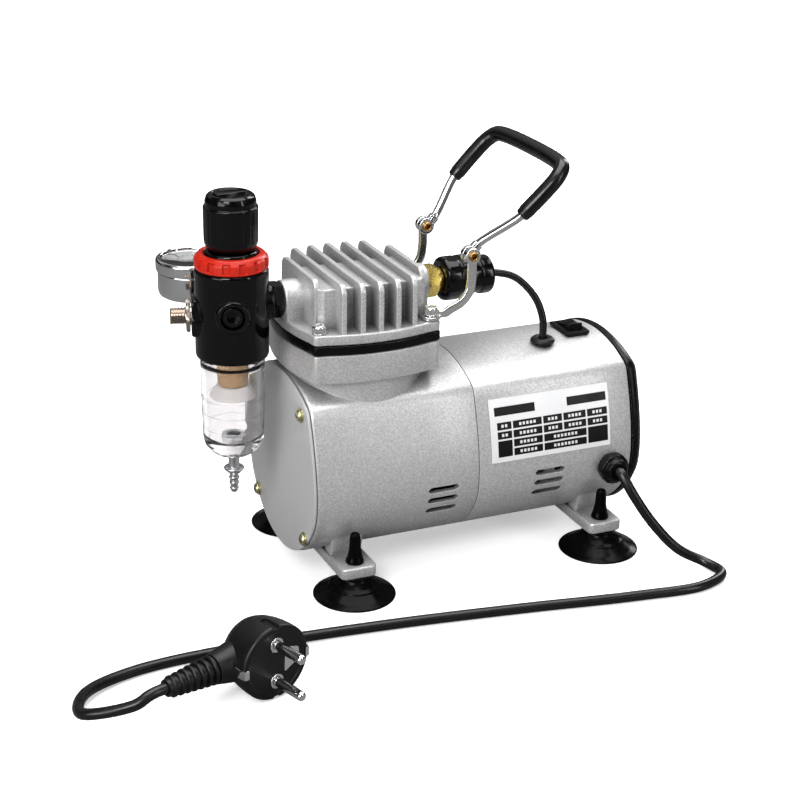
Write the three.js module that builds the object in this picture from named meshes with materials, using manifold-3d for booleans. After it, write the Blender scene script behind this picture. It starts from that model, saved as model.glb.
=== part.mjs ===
// Mini piston compressor for airbrushes: motor housing, cylinder and finned head, filter regulator with
// gauge, pressure switch, folding carrying handle, suction feet and mains cord.
// Millimetres, +Z up, +X towards the mains-switch end. Pieces are set out from the point on the floor midway
// between the four feet; at the end everything moves together so that the origin is the middle of the whole
// footprint, cord and plug included.
import * as THREE from 'three';
import { mergeVertices } from 'three/addons/utils/BufferGeometryUtils.js';
import Module from 'manifold-3d';

const wasm = await Module();
wasm.setup();

// ---------------------------------------------------------------- driving dimensions

const GAP = 0.3;                 // clearance between neighbouring pieces

const HOUSING_FRONT = -93;       // front end of the cast housing
const HOUSING_SEAM = -3;         // joint between the two housing halves
const HOUSING_REAR = 88;         // rear end of the cast housing
const WALL = 3.2;                // housing wall thickness
const BODY_AXIS_Z = 61.8;        // height of the motor shaft
const BODY_HALF_WIDTH = 48;
const BODY_LOW_RADIUS = 49.8;    // round lower part of the section
const BODY_TOP_Z = 110.5;
const SHOULDER_Y = 37;           // crease between the crown and the side
const SHOULDER_Z = 100.5;

const FOOT_X = 72;               // suction feet stand at +-FOOT_X, +-FOOT_Y
const FOOT_Y = 46;
const FOOT_RADIUS = 21.5;
const LUG_LOW = 12;
const LUG_HIGH = 18;
const LUG_WIDTH = 19.6;
const LUG_REACH = 53.5;

const CYLINDER_X = -55.5;        // vertical axis of cylinder, head and piston
const HEAD_HALF = 39.2;
const FLANGE_LOW = 113;
const FLANGE_HIGH = 128.2;
const PLATE_HIGH = 133.2;
const HEAD_BASE_HIGH = 138.8;
const FIN_TOP = 163.6;
const FIN_PITCH = 9.55;
const FIN_THICKNESS = 2.5;
const PORT_Z = 148.5;            // height of both head ports
const BOLT_DX = 30.4;
const BOLT_DY = 30;

const REGULATOR_X = -120.5;      // vertical axis of the filter regulator
const REGULATOR_RADIUS = 18.5;
const REGULATOR_LOW = 122;
const REGULATOR_HIGH = 168.4;
const PLUG_Z = 148;              // heights of the ports round the regulator
const GAUGE_PORT_Z = 146;
const OUTLET_Z = 143.2;

const BRACKET_THICKNESS = 1.8;   // handle bracket strap
const HINGE_X = -2.7;            // carrying handle hinge, axis along Y
const HINGE_Z = 169.6;
const HANDLE_ANGLE = 44;         // lean of the legs above horizontal, degrees
const HANDLE_REACH = 64;         // hinge axis to crossbar axis

const CRANK_THROW = 7;           // half of the piston stroke
const SHAFT_RADIUS = 5;

// ---------------------------------------------------------------- finishes

const FINISH = {
  silver_paint: { color: 0xb9bbbd, roughness: 0.42, metalness: 0.55 },
  cover_paint: { color: 0x9b9b9b, roughness: 0.45, metalness: 0.3 },
  black_plastic: { color: 0x17171a, roughness: 0.35, metalness: 0 },
  black_gloss: { color: 0x08080a, roughness: 0.15, metalness: 0 },
  black_rubber: { color: 0x1b1b1c, roughness: 0.75, metalness: 0 },
  red_plastic: { color: 0xe23222, roughness: 0.35, metalness: 0 },
  white_plastic: { color: 0xece9e4, roughness: 0.4, metalness: 0 },
  clear_plastic: { color: 0xf3f3f3, roughness: 0.08, metalness: 0 },
  chrome: { color: 0xd8d8da, roughness: 0.12, metalness: 1 },
  steel: { color: 0xa9aaac, roughness: 0.35, metalness: 1 },
  brass: { color: 0xc99b45, roughness: 0.3, metalness: 1 },
  bronze: { color: 0xc79a66, roughness: 0.8, metalness: 0.2 },
  yellow_zinc: { color: 0xcfc98a, roughness: 0.3, metalness: 1 },
  aluminium: { color: 0xc2c4c6, roughness: 0.35, metalness: 1 },
};

// ---------------------------------------------------------------- solids and booleans

const group = new THREE.Group();

// Vertices and whole triangles of a closed geometry, with shared corners merged.
function bareTriangles(geometry) {
  const bare = geometry.clone();
  bare.deleteAttribute('normal');
  bare.deleteAttribute('uv');
  const merged = mergeVertices(bare, 1e-4);
  const index = Array.from(merged.index.array);
  const whole = [];
  for (let i = 0; i < index.length; i += 3) {
    const [a, b, c] = index.slice(i, i + 3);
    if (a !== b && b !== c && c !== a) whole.push([a, b, c]);
  }
  return { points: merged.attributes.position.array, whole };
}

function signedVolume(points, triangles) {
  const at = (i) => new THREE.Vector3().fromArray(points, 3 * i);
  return triangles.reduce((sum, [a, b, c]) => sum + at(a).dot(at(b).cross(at(c))) / 6, 0);
}

// Closed three.js geometry as a manifold solid, turned outward if its faces point in.
function solid(geometry) {
  const { points, whole } = bareTriangles(geometry);
  const inward = signedVolume(points, whole) < 0;
  const triangles = inward ? whole.map(([a, b, c]) => [a, c, b]) : whole;
  return new wasm.Manifold(new wasm.Mesh({
    numProp: 3,
    vertProperties: new Float32Array(points),
    triVerts: new Uint32Array(triangles.flat()),
  }));
}

const union = (first, ...others) => others.reduce((sum, piece) => sum.add(piece), first);
const cut = (first, ...others) => others.reduce((rest, piece) => rest.subtract(piece), first);

// Names a finished solid and adds it to the assembly as its own mesh and material.
function addPiece(name, shape, finish) {
  const { vertProperties, triVerts } = shape.getMesh();
  const geometry = new THREE.BufferGeometry();
  geometry.setAttribute('position', new THREE.BufferAttribute(vertProperties, 3));
  geometry.setIndex(new THREE.BufferAttribute(triVerts, 1));
  geometry.computeVertexNormals();
  const mesh = new THREE.Mesh(geometry, new THREE.MeshStandardMaterial(FINISH[finish]));
  mesh.name = name;
  group.add(mesh);
}

const point = (x, y, z) => new THREE.Vector3(x, y, z);
const radians = THREE.MathUtils.degToRad;

// ---------------------------------------------------------------- shape helpers

// Moves a geometry modelled around +Y so that its +Y runs from `from` along `direction`.
function aim(geometry, from, direction) {
  const turn = new THREE.Quaternion().setFromUnitVectors(point(0, 1, 0), direction.clone().normalize());
  return geometry.clone().applyQuaternion(turn).translate(from.x, from.y, from.z);
}

// Straight round or many-sided rod between two points.
function rod(radius, from, to, sides = 20, endRadius = radius) {
  const axis = to.clone().sub(from);
  const geometry = new THREE.CylinderGeometry(endRadius, radius, axis.length(), sides);
  return solid(aim(geometry.translate(0, axis.length() / 2, 0), from, axis));
}

const rodX = (radius, x0, x1, y, z, sides) => rod(radius, point(x0, y, z), point(x1, y, z), sides);
const rodY = (radius, y0, y1, x, z, sides) => rod(radius, point(x, y0, z), point(x, y1, z), sides);
const rodZ = (radius, z0, z1, x, y, sides) => rod(radius, point(x, y, z0), point(x, y, z1), sides);

// Hexagonal prism between two points, measured across its flats.
const hexagon = (acrossFlats, from, to) => rod(acrossFlats / Math.sqrt(3), from, to, 6);

// Turned piece: profile pairs [radius, height along direction] that start and end on the axis or close up.
function turned(profile, from, direction = point(0, 0, 1), sides = 24) {
  const outline = profile.map(([radius, height]) => new THREE.Vector2(radius, height));
  return solid(aim(new THREE.LatheGeometry(outline, sides), from, direction));
}

// Hollow tube, as a turned piece.
function tube(outer, inner, from, direction, length, sides = 24) {
  const profile = [[inner, 0], [outer, 0], [outer, length], [inner, length], [inner, 0]];
  return turned(profile, from, direction, sides);
}

function box(x0, x1, y0, y1, z0, z1) {
  const geometry = new THREE.BoxGeometry(x1 - x0, y1 - y0, z1 - z0);
  return solid(geometry.translate((x0 + x1) / 2, (y0 + y1) / 2, (z0 + z1) / 2));
}

// Shape drawn in (y, z), filled from x0 to x1.
function slabX(shape, x0, x1, curveSegments = 4) {
  const geometry = new THREE.ExtrudeGeometry(shape, { depth: x1 - x0, bevelEnabled: false, curveSegments });
  const place = new THREE.Matrix4().set(0, 0, 1, x0, 1, 0, 0, 0, 0, 1, 0, 0, 0, 0, 0, 1);
  return solid(geometry.applyMatrix4(place));
}

// Shape drawn in (x, y), filled from z0 to z1.
function slabZ(shape, z0, z1, curveSegments = 4) {
  const geometry = new THREE.ExtrudeGeometry(shape, { depth: z1 - z0, bevelEnabled: false, curveSegments });
  return solid(geometry.translate(0, 0, z0));
}

// Shape drawn in (x, z), filled from y0 to y1.
function slabY(shape, y0, y1, curveSegments = 4) {
  const geometry = new THREE.ExtrudeGeometry(shape, { depth: y1 - y0, bevelEnabled: false, curveSegments });
  return solid(geometry.rotateX(Math.PI / 2).translate(0, y1, 0));
}

// Rectangle with rounded corners, centred on (cx, cy).
function roundedRectangle(cx, cy, width, height, radius) {
  const [left, low] = [cx - width / 2, cy - height / 2];
  const [right, high] = [cx + width / 2, cy + height / 2];
  const shape = new THREE.Shape();
  shape.absarc(right - radius, low + radius, radius, -Math.PI / 2, 0, false);
  shape.absarc(right - radius, high - radius, radius, 0, Math.PI / 2, false);
  shape.absarc(left + radius, high - radius, radius, Math.PI / 2, Math.PI, false);
  shape.absarc(left + radius, low + radius, radius, Math.PI, 1.5 * Math.PI, false);
  shape.closePath();
  return shape;
}

// Long slot with pointed ends, lying along the first axis of its plane.
function slot(cx, cy, length, width) {
  const [half, tip] = [width / 2, length / 2];
  return new THREE.Shape([
    new THREE.Vector2(cx - tip, cy), new THREE.Vector2(cx + half - tip, cy - half),
    new THREE.Vector2(cx + tip - half, cy - half), new THREE.Vector2(cx + tip, cy),
    new THREE.Vector2(cx + tip - half, cy + half), new THREE.Vector2(cx + half - tip, cy + half),
  ]);
}

// Round cord, lead or bent rod along a curve; a hole radius makes it a sleeve.
function bentRod(radius, curve, steps, sides = 8, holeRadius = 0) {
  const ring = (r) => Array.from({ length: sides }, (_, i) => {
    const angle = (2 * Math.PI * i) / sides;
    return new THREE.Vector2(r * Math.cos(angle), r * Math.sin(angle));
  });
  const section = new THREE.Shape(ring(radius));
  if (holeRadius) section.holes.push(new THREE.Path(ring(holeRadius).reverse()));
  return solid(new THREE.ExtrudeGeometry(section, { steps, extrudePath: curve, bevelEnabled: false }));
}

const smoothCurve = (points) => new THREE.CatmullRomCurve3(points, false, 'centripetal');

// Pan-head or socket screw whose head rests on `seat` and whose shank runs against `outward`.
function screw(seat, outward, { headRadius, headHeight, shankRadius, length, recess }) {
  const body = turned([
    [0, -length], [shankRadius, -length], [shankRadius, 0], [headRadius, 0],
    [headRadius, 0.7 * headHeight], [0.8 * headRadius, headHeight], [0, headHeight],
  ], seat, outward, 10);
  const top = seat.clone().addScaledVector(outward, headHeight + 1);
  const floor = seat.clone().addScaledVector(outward, 0.5 * headHeight);
  return cut(body, rod(recess, floor, top, 6));
}

// ---------------------------------------------------------------- housing

// Outline of the housing section in (y, z): crown arc, curved sides and round bottom, drawn at a scale
// about the shaft axis so that a smaller scale gives the inner face of the wall.
function bodyOutline(inset = 0) {
  const scale = 1 - inset / BODY_HALF_WIDTH;
  const width = SHOULDER_Y * scale;
  const up = (z) => BODY_AXIS_Z + (z - BODY_AXIS_Z) * scale;
  const rise = BODY_TOP_Z - SHOULDER_Z;
  const crownRadius = (SHOULDER_Y ** 2 + rise ** 2) / (2 * rise);
  const crownAngle = Math.asin(SHOULDER_Y / crownRadius);
  const lowAngle = radians(23.5);
  const lowRadius = BODY_LOW_RADIUS * scale;
  const lowY = lowRadius * Math.cos(lowAngle);
  const bulge = 1.085 * BODY_HALF_WIDTH * scale;
  const shape = new THREE.Shape();
  shape.absarc(0, up(BODY_TOP_Z - crownRadius), crownRadius * scale,
    Math.PI / 2 - crownAngle, Math.PI / 2 + crownAngle, false);
  shape.quadraticCurveTo(-bulge, up(60), -lowY, BODY_AXIS_Z - lowRadius * Math.sin(lowAngle));
  shape.absarc(0, BODY_AXIS_Z, lowRadius, Math.PI + lowAngle, 2 * Math.PI - lowAngle, false);
  shape.quadraticCurveTo(bulge, up(60), width, up(SHOULDER_Z));
  return shape;
}

const VENT_HEIGHTS = [51.5, 45.4, 38.9];

// Three long slots through both side walls.
function ventSlots(centreX) {
  return union(...VENT_HEIGHTS.map((z) => slabY(slot(centreX, z, 17.6, 2.6), -60, 60)));
}

// Cross foot under the housing: a flat bar with rounded ends, holes for the foot stems and roots to the wall.
function footBar(x) {
  const bar = slabZ(roundedRectangle(x, 0, LUG_WIDTH, 2 * LUG_REACH, 5), LUG_LOW, LUG_HIGH, 1);
  const ribs = [-1, 1].map((side) => {
    const corners = [[28, 17], [40.3, 17], [40.3, 33.5], [28, 24]];
    return slabX(new THREE.Shape(corners.map(([y, z]) => new THREE.Vector2(side * y, z))), x - 8.5, x + 8.5);
  });
  const holes = [-FOOT_Y, FOOT_Y].map((y) => rodZ(4.1, 0, 30, x, y, 10));
  return { bar: union(bar, ...ribs), holes };
}

// Bow of the head's sides: how far the outline falls back at a distance from the middle of a side.
const sideBow = (distance) => distance ** 2 / 184;

// Outline of the head, plate and flange: a square with bowed sides and small rounded corners.
function headOutline(half) {
  const reach = half - 8.7;
  const side = [-reach, -0.55 * reach, 0, 0.55 * reach, reach].map((t) => [t, sideBow(t) - half]);
  const corner = (half - sideBow(reach) + reach) / 2 + 0.9;
  const quarter = [...side, [corner, -corner]].map(([x, y]) => new THREE.Vector2(x, y));
  const middle = new THREE.Vector2(CYLINDER_X, 0);
  const turnedBy = (angle) => quarter.map((p) => p.clone().add(middle).rotateAround(middle, angle));
  return new THREE.Shape([0, 0.5, 1, 1.5].flatMap((halfTurns) => turnedBy(halfTurns * Math.PI)));
}

const boltPlaces = [[-1, -1], [1, -1], [1, 1], [-1, 1]].map(([i, j]) => (
  point(CYLINDER_X + i * BOLT_DX, j * BOLT_DY, HEAD_BASE_HIGH)
));
const boltHoles = (low, high, radius = 2.8) => boltPlaces.map(({ x, y }) => rodZ(radius, low, high, x, y, 8));

const COVER_SCREWS = [[-28.5, 96], [28.5, 96], [33.5, 29.5], [-33.5, 29.5]];
const LINER_OUTER = 22;
const BEARING_OUTER = 11;
const FRONT_BEARING_X = -24;
const REAR_BEARING_X = 54;

function frontHousing() {
  const shell = slabX(bodyOutline(), HOUSING_FRONT, HOUSING_SEAM - GAP / 2);
  const neck = rodZ(34.7, 92, FLANGE_LOW + 1, CYLINDER_X, 0, 28);
  const flange = slabZ(headOutline(HEAD_HALF), FLANGE_LOW, FLANGE_HIGH);
  const foot = footBar(-FOOT_X);
  const inside = slabX(bodyOutline(WALL), HOUSING_FRONT - 1, HOUSING_SEAM + 1);
  const bosses = COVER_SCREWS.map(([y, z]) => rodX(6, HOUSING_FRONT, HOUSING_FRONT + 12, y, z, 8));
  const trimmed = bosses.map((boss) => boss.intersect(slabX(bodyOutline(0.5), HOUSING_FRONT, 0)));
  const bridge = cut(
    box(FRONT_BEARING_X - 1, FRONT_BEARING_X + 9, -46, 46, BODY_AXIS_Z - 15, BODY_AXIS_Z + 15),
    rodX(BEARING_OUTER + GAP, FRONT_BEARING_X - 5, FRONT_BEARING_X + 7, 0, BODY_AXIS_Z, 20),
    rodX(8, FRONT_BEARING_X - 5, FRONT_BEARING_X + 12, 0, BODY_AXIS_Z, 12),
  );
  const cast = cut(union(shell, neck, flange, foot.bar), inside);
  const webs = union(...trimmed, bridge.intersect(slabX(bodyOutline(1), HOUSING_FRONT, HOUSING_SEAM)));
  const pilots = COVER_SCREWS.map(([y, z]) => rodX(2, HOUSING_FRONT - 1, HOUSING_FRONT + 9.5, y, z, 6));
  return cut(
    union(cast, webs), rodZ(LINER_OUTER + 0.5, 88, 130, CYLINDER_X, 0, 24), ventSlots(-23),
    ...foot.holes, ...pilots, ...boltHoles(FLANGE_LOW - 4, 130),
  );
}

const LEAD_X = 50;
const LEAD_Y = -12;
const ROCKER_X = 73;
const GLAND_X = 75.5;
const GLAND_Z = 48.5;

function rearHousing() {
  const shell = slabX(bodyOutline(), HOUSING_SEAM + GAP / 2, HOUSING_REAR);
  const foot = footBar(FOOT_X);
  const inside = slabX(bodyOutline(WALL), HOUSING_SEAM - 1, HOUSING_REAR + 1);
  const bridge = cut(
    box(REAR_BEARING_X - 9, REAR_BEARING_X + 1, -46, 46, BODY_AXIS_Z - 15, BODY_AXIS_Z + 15),
    rodX(BEARING_OUTER + GAP, REAR_BEARING_X - 7, REAR_BEARING_X + 5, 0, BODY_AXIS_Z, 20),
    rodX(8, REAR_BEARING_X - 12, REAR_BEARING_X + 5, 0, BODY_AXIS_Z, 12),
  );
  const cast = cut(union(shell, foot.bar), inside);
  const pad = box(ROCKER_X - 7.6, ROCKER_X + 7.6, -11.2, 11.2, 110.1, 120);
  const opening = box(ROCKER_X - 5.8, ROCKER_X + 5.8, -9.8, 9.8, 100, 120);
  return cut(
    union(cast, bridge.intersect(slabX(bodyOutline(1), HOUSING_SEAM, HOUSING_REAR))),
    ventSlots(39), ...foot.holes, pad, opening,
    rodZ(4.6, 100, 120, LEAD_X, LEAD_Y, 14), rodY(5.3, -60, -35, GLAND_X, GLAND_Z, 14),
  );
}

const COVER_THICKNESS = 1.5;

function frontCover() {
  const outer = HOUSING_FRONT - GAP;
  const sheet = slabX(bodyOutline(0.4), outer - COVER_THICKNESS, outer);
  return cut(sheet, ...COVER_SCREWS.map(([y, z]) => rodX(2.3, outer - 5, outer + 1, y, z, 8)));
}

// Rear end cap: a rim flush with the housing, a shallow dish and a fan grille of upright slots.
function rearCover() {
  const start = HOUSING_REAR + GAP;
  const rim = slabX(bodyOutline(-0.4), start, start + 4);
  const dish = slabX(bodyOutline(3), start + 4, start + 7.2);
  const spigot = slabX(bodyOutline(WALL + GAP), start - 4, start + 0.1);
  const hollow = slabX(bodyOutline(WALL + 2.5), start - 5, start + 5);
  const slots = Array.from({ length: 7 }, (_, i) => {
    const y = (i - 3) * 8;
    const height = 2 * Math.sqrt(34 ** 2 - y ** 2);
    return box(start, start + 10, y - 1.8, y + 1.8, BODY_AXIS_Z - height / 2, BODY_AXIS_Z + height / 2);
  });
  return cut(union(rim, dish, spigot), hollow, ...slots);
}

function buildHousing() {
  addPiece('front_housing', frontHousing(), 'silver_paint');
  addPiece('rear_housing', rearHousing(), 'silver_paint');
  addPiece('front_cover', frontCover(), 'cover_paint');
  addPiece('rear_cover', rearCover(), 'black_plastic');
  const coverScrew = { headRadius: 3, headHeight: 1.9, shankRadius: 1.6, length: 9, recess: 0.9 };
  COVER_SCREWS.forEach(([y, z], i) => {
    const seat = point(HOUSING_FRONT - GAP - COVER_THICKNESS - 0.1, y, z);
    addPiece(`cover_screw_${i + 1}`, screw(seat, point(-1, 0, 0), coverScrew), 'yellow_zinc');
  });
}

// ---------------------------------------------------------------- suction feet

// One rubber foot: cup on the floor, cone under the lug, waist through the lug and a stem above it.
function suctionFoot(x, y) {
  const gap = GAP / 2;
  return turned([
    [0, 3.5], [18.8, 0], [FOOT_RADIUS, 0], [FOOT_RADIUS, 0.9], [13.5, 5.6], [8.6, 9.4], [7.8, LUG_LOW - gap],
    [3.7, LUG_LOW - gap], [3.7, LUG_HIGH + gap], [4.6, LUG_HIGH + gap], [3.1, 25], [2.8, 32.6], [0, 35.1],
  ], point(x, y, 0), point(0, 0, 1), 18);
}

function buildFeet() {
  const places = [[-1, -1], [1, -1], [1, 1], [-1, 1]];
  places.forEach(([i, j], n) => {
    addPiece(`foot_${n + 1}`, suctionFoot(i * FOOT_X, j * FOOT_Y), 'black_rubber');
  });
}

// ---------------------------------------------------------------- cylinder head

// Cooling fins run across the machine; the outer two are shorter to clear the head bolts.
function fins() {
  return Array.from({ length: 7 }, (_, i) => {
    const x = CYLINDER_X + (i - 3) * FIN_PITCH;
    const outermost = i === 0 || i === 6;
    const half = outermost ? 23.5 : HEAD_HALF - 1.2 - sideBow((i - 3) * FIN_PITCH);
    const outline = new THREE.Shape([
      [-half, HEAD_BASE_HIGH - 2], [half, HEAD_BASE_HIGH - 2], [half, FIN_TOP - 3], [half - 2.5, FIN_TOP],
      [2.5 - half, FIN_TOP], [-half, FIN_TOP - 3],
    ].map((p) => new THREE.Vector2(...p)));
    return slabX(outline, x - FIN_THICKNESS / 2, x + FIN_THICKNESS / 2);
  });
}

const FRONT_PORT_FACE = -95;
const REAR_PORT_FACE = -16;

function cylinderHead() {
  const base = slabZ(headOutline(HEAD_HALF), PLATE_HIGH + GAP, HEAD_BASE_HIGH);
  const deck = box(CYLINDER_X - 29, CYLINDER_X + 29, -27, 13.5, HEAD_BASE_HIGH - 2, 159.6);
  const lowDeck = box(CYLINDER_X - 29, CYLINDER_X + 29, 13, 28, HEAD_BASE_HIGH - 2, 147);
  const frontPort = rodX(9.5, FRONT_PORT_FACE, CYLINDER_X, 0, PORT_Z, 16);
  const frontFoot = box(FRONT_PORT_FACE + 1, CYLINDER_X, -9, 9, HEAD_BASE_HIGH - 2, PORT_Z);
  const rearPort = rodX(9.5, CYLINDER_X, REAR_PORT_FACE, 0, PORT_Z, 16);
  const rearFoot = box(CYLINDER_X, REAR_PORT_FACE - 1, -9, 9, HEAD_BASE_HIGH - 2, PORT_Z);
  const passages = [
    rodX(5.2, FRONT_PORT_FACE - 1, FRONT_PORT_FACE + 14, 0, PORT_Z, 12),
    rodX(5.2, REAR_PORT_FACE - 14, REAR_PORT_FACE + 1, 0, PORT_Z, 12),
    rodZ(3, 130, PORT_Z, FRONT_PORT_FACE + 12, 0, 8),
    rodZ(3, 130, PORT_Z, REAR_PORT_FACE - 12, 0, 8),
  ];
  const body = union(base, deck, lowDeck, frontPort, frontFoot, rearPort, rearFoot, ...fins());
  const boltRoom = boltHoles(HEAD_BASE_HIGH, 160, 5.7);
  return cut(body, ...passages, ...boltHoles(130, HEAD_BASE_HIGH + 1), ...boltRoom);
}

function buildCylinder() {
  const down = point(CYLINDER_X, 0, 96);
  const liner = tube(LINER_OUTER, 19.3, down, point(0, 0, 1), FLANGE_HIGH - 96, 24);
  addPiece('cylinder_liner', liner, 'aluminium');
  const plate = slabZ(headOutline(HEAD_HALF + 0.3), FLANGE_HIGH + GAP, PLATE_HIGH);
  const ports = [-9, 9].map((dx) => rodZ(2.5, FLANGE_HIGH - 1, PLATE_HIGH + 1, CYLINDER_X + dx, 0, 8));
  addPiece('valve_plate', cut(plate, ...boltHoles(FLANGE_HIGH - 1, 140), ...ports), 'black_plastic');
  addPiece('cylinder_head', cylinderHead(), 'silver_paint');
  const bolt = { headRadius: 3.5, headHeight: 4.4, shankRadius: 2.4, length: 26, recess: 1.9 };
  boltPlaces.forEach((place, i) => {
    const seat = place.clone();
    seat.z += i === 1 || i === 2 ? BRACKET_THICKNESS + 2 * GAP : GAP / 2;
    addPiece(`head_bolt_${i + 1}`, screw(seat, point(0, 0, 1), bolt), 'chrome');
  });
}

// ---------------------------------------------------------------- filter regulator

const heading = (degrees) => point(Math.cos(radians(degrees)), Math.sin(radians(degrees)), 0);
const PLUG_HEADING = heading(-108);      // blanked gauge port, towards the near side
const OUTLET_HEADING = heading(163);     // hose outlet
const GAUGE_HEADING = heading(96.6);     // gauge stem, towards the far side
const regulatorAxis = (z) => point(REGULATOR_X, 0, z);
const fromAxis = (direction, distance, z) => (
  regulatorAxis(z).addScaledVector(direction, distance)
);

function regulatorBody() {
  const height = REGULATOR_HIGH - REGULATOR_LOW;
  const barrel = turned([
    [0, 0], [17.2, 0], [REGULATOR_RADIUS, 1.5], [REGULATOR_RADIUS, height - 1], [17.7, height], [0, height],
  ], regulatorAxis(REGULATOR_LOW), point(0, 0, 1), 24);
  const bonnet = rodZ(13.2, REGULATOR_HIGH - 1, 177.4, REGULATOR_X, 0, 20);
  const stem = rodZ(6.5, 170, 185.4, REGULATOR_X, 0, 16);
  const port = (direction, z, boss, reach, bore) => ({
    boss: rod(boss, fromAxis(direction, 5, z), fromAxis(direction, reach, z), 14),
    bore: rod(bore, fromAxis(direction, 7, z), fromAxis(direction, 30, z), 10),
  });
  const ports = [
    port(PLUG_HEADING, PLUG_Z, 8.6, 20, 6.1),
    port(OUTLET_HEADING, OUTLET_Z, 10, 20.3, 5),
    port(heading(0), PORT_Z, 10, 19.8, 5.1),
    port(GAUGE_HEADING, GAUGE_PORT_Z, 8, 20, 3.7),
  ];
  const bowlThread = rodZ(12.9, REGULATOR_LOW - 1, 136, REGULATOR_X, 0, 20);
  const spindleThread = rodZ(3.3, 160, 190, REGULATOR_X, 0, 12);
  const body = union(barrel, bonnet, stem, ...ports.map(({ boss }) => boss));
  return cut(body, ...ports.map(({ bore }) => bore), bowlThread, spindleThread);
}

// Panel-mounting nut around the bonnet: shallow lobes and a bevelled upper edge.
function collarNut() {
  const lobes = 12;
  const low = REGULATOR_HIGH + GAP;
  const points = Array.from({ length: 4 * lobes }, (_, i) => {
    const angle = (2 * Math.PI * (i + 0.5)) / (4 * lobes);
    const radius = 18.2 + Math.sign(Math.cos(lobes * angle)) * 0.4;
    return new THREE.Vector2(REGULATOR_X + radius * Math.cos(angle), radius * Math.sin(angle));
  });
  const ring = slabZ(new THREE.Shape(points), low, 176.3);
  const bevel = turned([[0, -1], [19, -1], [19, 5], [16.4, 7.6], [0, 7.6]], regulatorAxis(low));
  return cut(ring.intersect(bevel), rodZ(13.7, 160, 180, REGULATOR_X, 0, 20));
}

const KNOB_LOW = 178.3;
const KNOB_HIGH = 206.6;

// Hollow push-and-turn knob with a raised wedge pointer on its cap.
function regulatorKnob() {
  const height = KNOB_HIGH - KNOB_LOW;
  const shell = turned([
    [0, 0], [12, 0], [13.5, 2.6], [13.6, height - 7], [12.9, height - 6.6], [12.8, height - 4],
    [11.4, height - 1.2], [9, height - 0.6], [0, height - 0.6],
  ], regulatorAxis(KNOB_LOW), point(0, 0, 1), 24);
  const wedge = slabZ(new THREE.Shape([
    new THREE.Vector2(REGULATOR_X - 7, -3.5), new THREE.Vector2(REGULATOR_X + 7, -1.2),
    new THREE.Vector2(REGULATOR_X + 7, 1.2), new THREE.Vector2(REGULATOR_X - 7, 3.5),
  ]), KNOB_HIGH - 1.5, KNOB_HIGH);
  const cavity = rodZ(10, KNOB_LOW - 1, KNOB_HIGH - 4, REGULATOR_X, 0, 16);
  const drive = rodZ(4.6, KNOB_LOW + 14, KNOB_HIGH - 3, REGULATOR_X, 0, 6);
  const socket = rodZ(3.4, KNOB_LOW - 2, KNOB_HIGH - 5, REGULATOR_X, 0, 6);
  return cut(union(cut(union(shell, wedge), cavity), drive), socket);
}

// Adjusting spindle that the knob slides on and turns.
function adjustingSpindle() {
  const screwEnd = rodZ(3, 164, 188, REGULATOR_X, 0, 12);
  const drive = rodZ(3, 187.5, 200, REGULATOR_X, 0, 6);
  return union(screwEnd, drive);
}

const BOWL_RADIUS = 16.3;
const BOWL_LOW = 69;

function filterBowl() {
  const top = REGULATOR_LOW - GAP;
  const wall = 2.2;
  const shell = turned([
    [0, BOWL_LOW], [9.5, BOWL_LOW], [BOWL_RADIUS - 1.6, BOWL_LOW + 5.5], [BOWL_RADIUS - 0.8, BOWL_LOW + 8],
    [BOWL_RADIUS, top - 12], [BOWL_RADIUS, top], [BOWL_RADIUS - wall, top],
    [BOWL_RADIUS - wall, top - 12], [BOWL_RADIUS - wall - 0.8, BOWL_LOW + 10],
    [9, BOWL_LOW + 5.6], [6.8, BOWL_LOW + 3], [0, BOWL_LOW + 3],
  ], regulatorAxis(0), point(0, 0, 1), 18);
  const neck = tube(12.4, 10.4, regulatorAxis(top - 4), point(0, 0, 1), 13, 18);
  const shoulder = tube(BOWL_RADIUS - 1, 10.4, regulatorAxis(top - 4), point(0, 0, 1), 3.6, 18);
  return cut(union(shell, neck, shoulder), rodZ(3.4, BOWL_LOW - 2, BOWL_LOW + 6, REGULATOR_X, 0, 12));
}

// Pressure gauge on the far side, dial up, joined to the regulator by a short level stem.
const GAUGE_X = -126;
const GAUGE_Y = 47.5;
const GAUGE_LOW = 139.5;
const GAUGE_HIGH = 160;
const GAUGE_RADIUS = 18.2;
const gaugeAxis = (z) => point(GAUGE_X, GAUGE_Y, z);

function gaugeCase() {
  const rim = GAUGE_RADIUS;
  const cup = turned([
    [0, GAUGE_LOW], [14.8, GAUGE_LOW], [17.2, GAUGE_LOW + 2], [17.2, GAUGE_HIGH - 7], [rim, GAUGE_HIGH - 6.4],
    [rim, GAUGE_HIGH - 0.8], [rim - 0.8, GAUGE_HIGH], [rim - 2.2, GAUGE_HIGH],
    [rim - 2.4, GAUGE_HIGH - 6], [15.6, GAUGE_HIGH - 6.2], [15.6, GAUGE_LOW + 3], [0, GAUGE_LOW + 3],
  ], gaugeAxis(0), point(0, 0, 1), 24);
  const along = (distance) => fromAxis(GAUGE_HEADING, distance, GAUGE_PORT_Z);
  const stem = rod(3.3, along(9), along(31.6), 12);
  const wrenchFlats = hexagon(10, along(20.4), along(27.6));
  const post = rodZ(1.4, GAUGE_LOW + 2, GAUGE_HIGH - 5.2, GAUGE_X, GAUGE_Y, 8);
  return union(cup, stem, wrenchFlats, post);
}

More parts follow.
